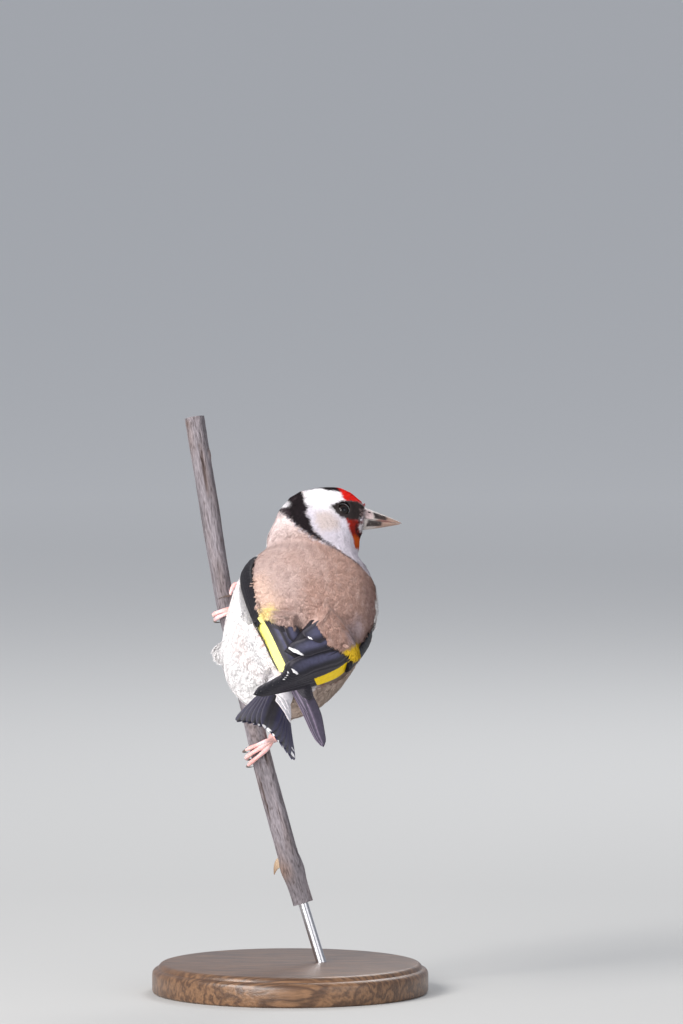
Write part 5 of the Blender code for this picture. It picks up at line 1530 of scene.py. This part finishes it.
# The stem's line, from its cut foot to its cut top, with its radius.
STEM_POINTS = [
    (Vector((3.9, 3.6, 26.7)), 3.3),
    (Vector((-2.1, 5.6, 46.3)), 3.4),
    (Vector((-8.5, 8.6, 69.9)), 3.3),
    (Vector((-12.1, 12.2, 85.5)), 3.3),
    (Vector((-15.8, 17.2, 100.6)), 3.1),
    (Vector((-20.3, 22.6, 118.7)), 2.95),
    (Vector((-24.9, 28.4, 145.9)), 3.2),
    (Vector((-29.4, 33.4, 173.0)), 3.2),
]
STEM_LONG, BARK_INSET = 150.0, 0.22
SCAR, SCAR_SPAN, SCAR_SWELL = 0.085, 0.02, 0.5
BARK_GREY = (0.145, 0.13, 0.142)
BARK_PALE = (0.235, 0.21, 0.228)
BARK_DARK = (0.045, 0.03, 0.028)
BARK_BROWN = (0.20, 0.13, 0.10)
# What the cut ends look like: rings by their share of the radius, each with how brown it is.
CUT_RINGS = ((0.93, 0.6), (0.5, 0.0), (0.18, 0.6))
CUT_PALE, CUT_BROWN = (0.62, 0.52, 0.40), (0.30, 0.20, 0.12)
BRACT_PALE, BRACT_BROWN = (0.45, 0.34, 0.24), (0.25, 0.16, 0.10)
# Marks on the bark: share of the length, angle from the viewer's side, half height and half width in
# millimetres, and depth; a negative depth is a knot.
BARK_MARKS = [(0.905, 0.1, 4.6, 0.5, 0.35), (0.93, 1.2, 1.2, 0.8, -0.35), (0.985, -0.9, 1.4, 0.9, -0.35),
              (0.455, -0.2, 2.6, 0.55, 0.4), (0.60, 0.7, 3.5, 0.4, 0.3), (0.30, 0.5, 4.0, 0.4, 0.3),
              (0.22, -0.8, 5.0, 0.35, 0.3), (0.70, 2.6, 4.5, 0.5, 0.3), (0.15, 2.9, 5.0, 0.5, 0.3)]


def stem_at(share):
    middle = smooth_path([point for point, radius in STEM_POINTS], share)
    return middle, between([radius for point, radius in STEM_POINTS], share)


def stem_axes(share):
    along = (stem_at(share + 0.01)[0] - stem_at(share - 0.01)[0]).normalized()
    near = (Vector((0, -1, 0)) - along * -along.y).normalized()
    return along, near, along.cross(near).normalized()


def stem_share(height):
    low, high = 0.0, 1.0
    for halving in range(24):
        middle = (low + high) / 2
        if stem_at(middle)[0].z < height:
            low = middle
        else:
            high = middle
    return low


def on_stem(share, angle, rise, clearance):
    """A point beside the stem, at an angle from the viewer's side, a rise along it and a clearance off it."""
    middle, radius = stem_at(share)
    along, near, right = stem_axes(share)
    turn = math.radians(angle)
    return middle + along * rise + (radius + clearance) * (math.cos(turn) * near + math.sin(turn) * right)


def bark_relief(share, angle):
    """The bark's height in millimetres, and how dark and how brown it is there."""
    round_place = Vector((2.6 * math.cos(angle), 2.6 * math.sin(angle), share * STEM_LONG * 0.13))
    fissure = abs(noise.noise(round_place * 1.25 + Vector((3.1, 0, 0))))
    crack = max(0.0, 1 - fissure / 0.11)
    lumps = noise.noise(Vector((round_place.x * 0.5, round_place.y * 0.5, share * STEM_LONG * 0.08)))
    fine = noise.noise(Vector((round_place.x * 2.8, round_place.y * 2.8, share * STEM_LONG * 0.30)))
    height = -0.20 * crack + 0.14 * lumps + 0.06 * fine
    dark, brown = 0.62 * crack, 0.35 * max(0.0, lumps)
    for at, place, tall, wide, depth in BARK_MARKS:
        up = (share - at) * STEM_LONG / tall
        aside = math.remainder(angle - place, 2 * math.pi) * 3.2 / wide
        hit = math.exp(-(up * up) ** 1.5 - (aside * aside) ** 1.5)
        height -= depth * hit
        dark += (0.9 if depth > 0 else 0.25) * hit
        brown += 0.4 * hit
    swell = math.exp(-((share - SCAR) / SCAR_SPAN) ** 2)
    brown += 0.8 * swell * max(0.0, math.cos(angle + 1.3))
    return height + SCAR_SWELL * swell, min(dark, 1.0), min(brown, 1.0)


def make_stem(finish):
    """The dry stem with its cracked bark, knots and leaf scar, and clean-cut ends."""
    steps, sides = 420, 72
    rings, colours, maps = [], [], []
    for k in range(steps + 1):
        share = k / steps
        middle, radius = stem_at(share)
        along, near, right = stem_axes(min(max(share, 0.01), 0.99))
        ring, shades, places = [], [], []
        for angle in round_angles(sides):
            level, aside = math.cos(angle), math.sin(angle)
            height, dark, brown = bark_relief(share, angle)
            ring.append(middle + (radius - BARK_INSET + height) * (level * near + aside * right))
            patch = noise.noise(Vector((level * 1.2, aside * 1.2, share * 9)))
            tone = blend3(BARK_GREY, BARK_PALE, 0.5 + 0.9 * patch)
            shades.append(blend3(blend3(tone, BARK_BROWN, brown), BARK_DARK, dark))
            places.append((level * 1.4, aside * 1.4, share * STEM_LONG * 0.11))
        rings.append(ring)
        colours.append(shades)
        maps.append(places)
    for end in (0, -1):
        edge, places = rings[end], maps[end]
        middle = sum(edge, Vector()) / sides
        for shrink, brown in CUT_RINGS:
            place = 0 if end == 0 else len(rings)
            rings.insert(place, [middle.lerp(point, shrink) for point in edge])
            colours.insert(place, [blend3(CUT_PALE, CUT_BROWN, brown)] * sides)
            maps.insert(place, places)
    shape = Shape()
    shape.add_rings(rings, colours, maps)
    bract(shape)
    made = shape.build("stem_bark", finish)
    crisp_edges(made, 55)
    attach(made, "root")
    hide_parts("stem")


def bract(shape):
    """The dried scale that still hangs at the leaf scar."""
    rings, shades, places = [], [], []
    steps, sides = 14, 14
    along, near, right = stem_axes(SCAR)
    for k in range(steps + 1):
        share = k / steps
        spine = on_stem(SCAR + 0.012, -95 - 18 * share, 1.0 - 3.0 * share * share, -0.3 + 3.4 * share)
        half = 1.5 * math.sqrt(max(0.02, 1 - share ** 1.6))
        rings.append([spine + along * half * math.cos(a) + near * 0.22 * math.sin(a)
                      for a in round_angles(sides)])
        shades.append([blend3(BRACT_PALE, BRACT_BROWN, share)] * sides)
        places.append([(0.3 * i, 0.2 * k, 0.0) for i in range(sides)])
    shape.add_rings(rings, shades, places)


# Legs and feet.
HEELS = {"left": Vector((-15.2, -1.6, -19.2)), "right": Vector((8.2, -9.4, -21.8))}
# A foot grips the stem at a height, with its sole at an angle round it. Each toe has its turn round the stem
# in degrees, its rise along it in millimetres, how soon it rises, its bulge off the stem and half thickness.
FEET = {
    "left": {"grip": 113.9, "sole": 80.0, "toes": [
        ("inner", -50.0, 7.4, 1.6, 2.2, 0.72), ("middle", -185.0, 0.2, 1.0, 0.2, 0.80),
        ("outer", -168.0, -1.4, 1.0, 0.2, 0.74), ("hind", 105.0, 2.2, 1.0, 0.5, 0.78)]},
    "right": {"grip": 75.6, "sole": 84.0, "toes": [
        ("inner", -150.0, -2.0, 1.0, 0.3, 0.72), ("middle", -190.0, -4.4, 1.0, 0.2, 0.80),
        ("outer", -165.0, -6.6, 1.0, 0.3, 0.74), ("hind", 105.0, -0.6, 1.0, 0.5, 0.78)]},
}
SHANK_RADIUS, TOE_OFF_STEM, PALM_OFF_STEM = 0.931, 1.15, 1.7
# A claw starts this many degrees past its toe's end and sweeps this many on.
CLAW_START, CLAW_SWEEP = 2.0, 55.0
# The ring scales' pitch and depth, on the shank and on the toes.
SHANK_SCUTES, TOE_SCUTES = (1.05, 0.10), (0.72, 0.13)
TOE_PINK = (0.86, 0.62, 0.62)
TOE_RED = (0.74, 0.24, 0.18)
CLAW_HORN, CLAW_DARK = (0.16, 0.115, 0.10), (0.05, 0.035, 0.03)


def toe_lift(rise, curl, share):
    return rise * math.sin(curl * share * math.pi / 2)


def bar(shape, points, radii, colour, sides=16):
    """A round bar along many points, with its own radius at each."""
    rings, colours, side = [], [], None
    for index, point in enumerate(points):
        way = (points[min(index + 1, len(points) - 1)] - points[max(index - 1, 0)]).normalized()
        side = way.orthogonal().normalized() if side is None else (side - way * side.dot(way)).normalized()
        up = side.cross(way)
        rings.append([point + radii[index] * (math.cos(a) * side + math.sin(a) * up)
                      for a in round_angles(sides)])
        colours.append([colour(index / (len(points) - 1), point)] * sides)
    shape.add_rings(rings, colours)


def scuted(base, place, pitch, depth):
    """A radius with overlapping ring scales along it: each swells slowly and steps back."""
    phase = (place / pitch) % 1.0
    return base * (1 + depth * (phase ** 1.5 - 0.4))


def make_foot(side, skin_look, claw_look):
    """One leg's bare parts: scaled shank, four scaled toes and their curved claws."""
    spec = FEET[side]
    grip, sole = stem_share(spec["grip"]), spec["sole"]
    heel = BODY_FRAME @ HEELS[side]
    palm = on_stem(grip, sole, 0.0, PALM_OFF_STEM)
    toward = (palm - heel).normalized()
    shape = Shape()
    long = (palm - heel).length

    def skin_colour(share, point):
        return blend3(TOE_PINK, TOE_RED, 0.30 + 0.55 * noise.noise(point * 0.35))

    steps = 60
    shank = [heel.lerp(palm, k / steps) for k in range(steps + 1)]
    radii = []
    for k in range(steps + 1):
        share = k / steps
        swell = 1 + 0.26 * math.exp(-(share / 0.10) ** 2) + 0.22 * soft(share, 0.82, 1.0)
        radii.append(scuted(SHANK_RADIUS * swell, share * long, *SHANK_SCUTES))
    bar(shape, shank, radii, skin_colour)
    knob = [palm - toward * 1.5 + toward * 3.0 * k / 12 for k in range(13)]
    knob_radii = [1.65 * math.sqrt(max(0.04, 1 - ((k - 6) / 6.2) ** 2)) for k in range(13)]
    bar(shape, knob, knob_radii, skin_colour)
    claws = Shape()
    for name, turn, rise, curl, bulge, thick in spec["toes"]:
        steps = 56
        points, radii, reach = [], [], 0.0
        for k in range(steps + 1):
            share = k / steps
            off = TOE_OFF_STEM + bulge * math.sin(math.pi * share)
            points.append(on_stem(grip, sole + turn * share, toe_lift(rise, curl, share), off))
            reach += (points[-1] - points[-2]).length if k else 0.0
            pad = 0.09 * math.cos(2 * math.pi * share * 2.6)
            end = math.sqrt(max(0.05, 1 - max(0.0, (share - 0.93) / 0.072) ** 2))
            radii.append(scuted((thick * (1.0 - 0.22 * share) + pad * 0.8) * end, reach, *TOE_SCUTES))
        bar(shape, points, radii, skin_colour)
        onward = math.copysign(1.0, turn)
        claw, thin = [], []
        for k in range(25):
            share = k / 24
            angle = sole + turn + onward * (CLAW_START + CLAW_SWEEP * share)
            claw.append(on_stem(grip, angle, toe_lift(rise, curl, 1.0) - 0.3 * share,
                                TOE_OFF_STEM + 0.7 * math.sin(math.pi * share)))
            thin.append(thick * 0.62 * (1 - 0.86 * share ** 0.9))
        bar(claws, claw, thin, lambda share, point: blend3(CLAW_HORN, CLAW_DARK, share), sides=12)
    made = shape.build(f"scaled_foot_{side}", skin_look)
    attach(made, "root")
    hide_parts(f"foot_{side}", f"shank_{side}")
    nails = claws.build(f"curved_claws_{side}", claw_look)
    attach(nails, "root")
    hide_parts(*[f"claw_{side}_{toe[0]}" for toe in spec["toes"]])


# The display stand: the base's outline as radii and heights, then its sides and the rod's radius, the height of
# the rod's foot and how far the rod runs into the stem.
BASE_PROFILE = [(41.2, 0.0), (41.7, 0.25), (41.99, 0.9), (41.99, 5.6), (41.85, 6.4), (41.4, 7.0),
                (40.7, 7.35), (40.2, 7.5), (40.0, 7.9), (39.7, 8.45), (39.1, 8.85), (38.4, 9.0)]
BASE_SIDES, ROD_RADIUS, ROD_FOOT, ROD_IN_STEM = 160, 1.5, 3.0, 9.0


def make_stand(wood, steel):
    """A turned wooden base with a small step and a rounded rim, and its steel rod."""
    rings = [[Vector((radius * math.cos(a), radius * math.sin(a), height)) for a in round_angles(BASE_SIDES)]
             for radius, height in BASE_PROFILE]
    shape = Shape()
    shape.add_rings(rings, UNPAINTED)
    base = shape.build("turned_base", wood)
    crisp_edges(base, 40)
    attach(base, "root")
    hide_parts("stand_base")
    foot, along = stem_at(0.0)[0], stem_axes(0.01)[0]
    rod_foot = foot - along * ((foot.z - ROD_FOOT) / along.z)
    rod = Shape()
    points = [rod_foot.lerp(foot + along * ROD_IN_STEM, k / 30) for k in range(31)]
    bar(rod, points, [ROD_RADIUS] * len(points), lambda share, point: UNPAINTED, sides=40)
    made = rod.build("steel_rod", steel)
    crisp_edges(made, 40)
    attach(made, "root")
    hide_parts("stand_rod")


def make_studio():
    """A wide pale floor, soft lights and the photograph's camera."""
    scene = bpy.context.scene
    shape = Shape()
    rings = [[Vector((x, y, 0.0)) for x in (-FLOOR_REACH, FLOOR_REACH)] for y in (-FLOOR_REACH, FLOOR_REACH)]
    shape.add_rings(rings, UNPAINTED, closed=False, caps=False)
    look, tree, shader = new_finish("pale_floor", roughness=0.85)
    # Painted light: the floor's colour pales with distance from the bird, standing in for even light across it.
    away = add(tree, "ShaderNodeVectorMath", {"operation": "LENGTH"}, {0: object_point(tree)})
    share = stepped(tree, away.outputs["Value"], *FLOOR_BLEND)
    colour = blended(tree, FLOOR_NEAR, FLOOR_FAR, share)
    tree.links.new(colour, shader.inputs["Base Color"])
    floor = shape.build("studio_floor", look)
    world = bpy.data.worlds.new("studio_air")
    world.use_nodes = True
    air = world.node_tree.nodes["Background"]
    air.inputs["Color"].default_value = AIR_COLOUR
    air.inputs["Strength"].default_value = AIR_STRENGTH
    scene.world = world
    target = BODY_MIDDLE * MM
    for name, place, size, power, colour in LAMPS:
        lamp = bpy.data.lights.new(name, "AREA")
        lamp.size, lamp.energy, lamp.color = size * MM, power, colour
        made = bpy.data.objects.new(name, lamp)
        made.location = Vector(place) * MM
        made.rotation_euler = (target - made.location).to_track_quat("-Z", "Y").to_euler()
        scene.collection.objects.link(made)
    tilt = math.radians(CAMERA_TILT)
    forward = Vector((0, math.cos(tilt), -math.sin(tilt)))
    lens = bpy.data.cameras.new("camera")
    lens.sensor_fit = "VERTICAL"
    lens.sensor_height = SENSOR
    lens.lens = SENSOR * CAMERA_REACH / FRAME_HEIGHT
    lens.clip_start, lens.clip_end = 0.05, 50.0
    camera = bpy.data.objects.new("camera", lens)
    camera.location = (AIM - forward * CAMERA_REACH) * MM
    camera.rotation_euler = (math.radians(90) - tilt, 0, 0)
    scene.collection.objects.link(camera)
    scene.camera = camera
    scene.view_settings.view_transform = "Standard"


def main():
    make_studio()
    skin = make_skin(skin_finish())
    lay_coat(skin, coat_finish())
    make_wing("left", quill_finish("wing_quills_left", PAINTED_LIT_YELLOW))
    make_wing("right", quill_finish("wing_quills_right", YELLOW))
    make_tail(quill_finish("tail_quills", YELLOW))
    horn = horn_finish("bill_horn_clouded", 0.38, 0.00004)
    for upper in (True, False):
        half_bill(upper, horn)
    nostrils(horn)
    wet = eye_finish()
    for side in (1, -1):
        make_eye(side, wet)
    make_lids(foot_finish())
    make_stem(bark_finish())
    foot_look, claw_look = foot_finish(), horn_finish("claw_horn_dark", 0.3, 0.00002)
    for side in FEET:
        make_foot(side, foot_look, claw_look)
    make_stand(wood_finish(), steel_finish())


main()
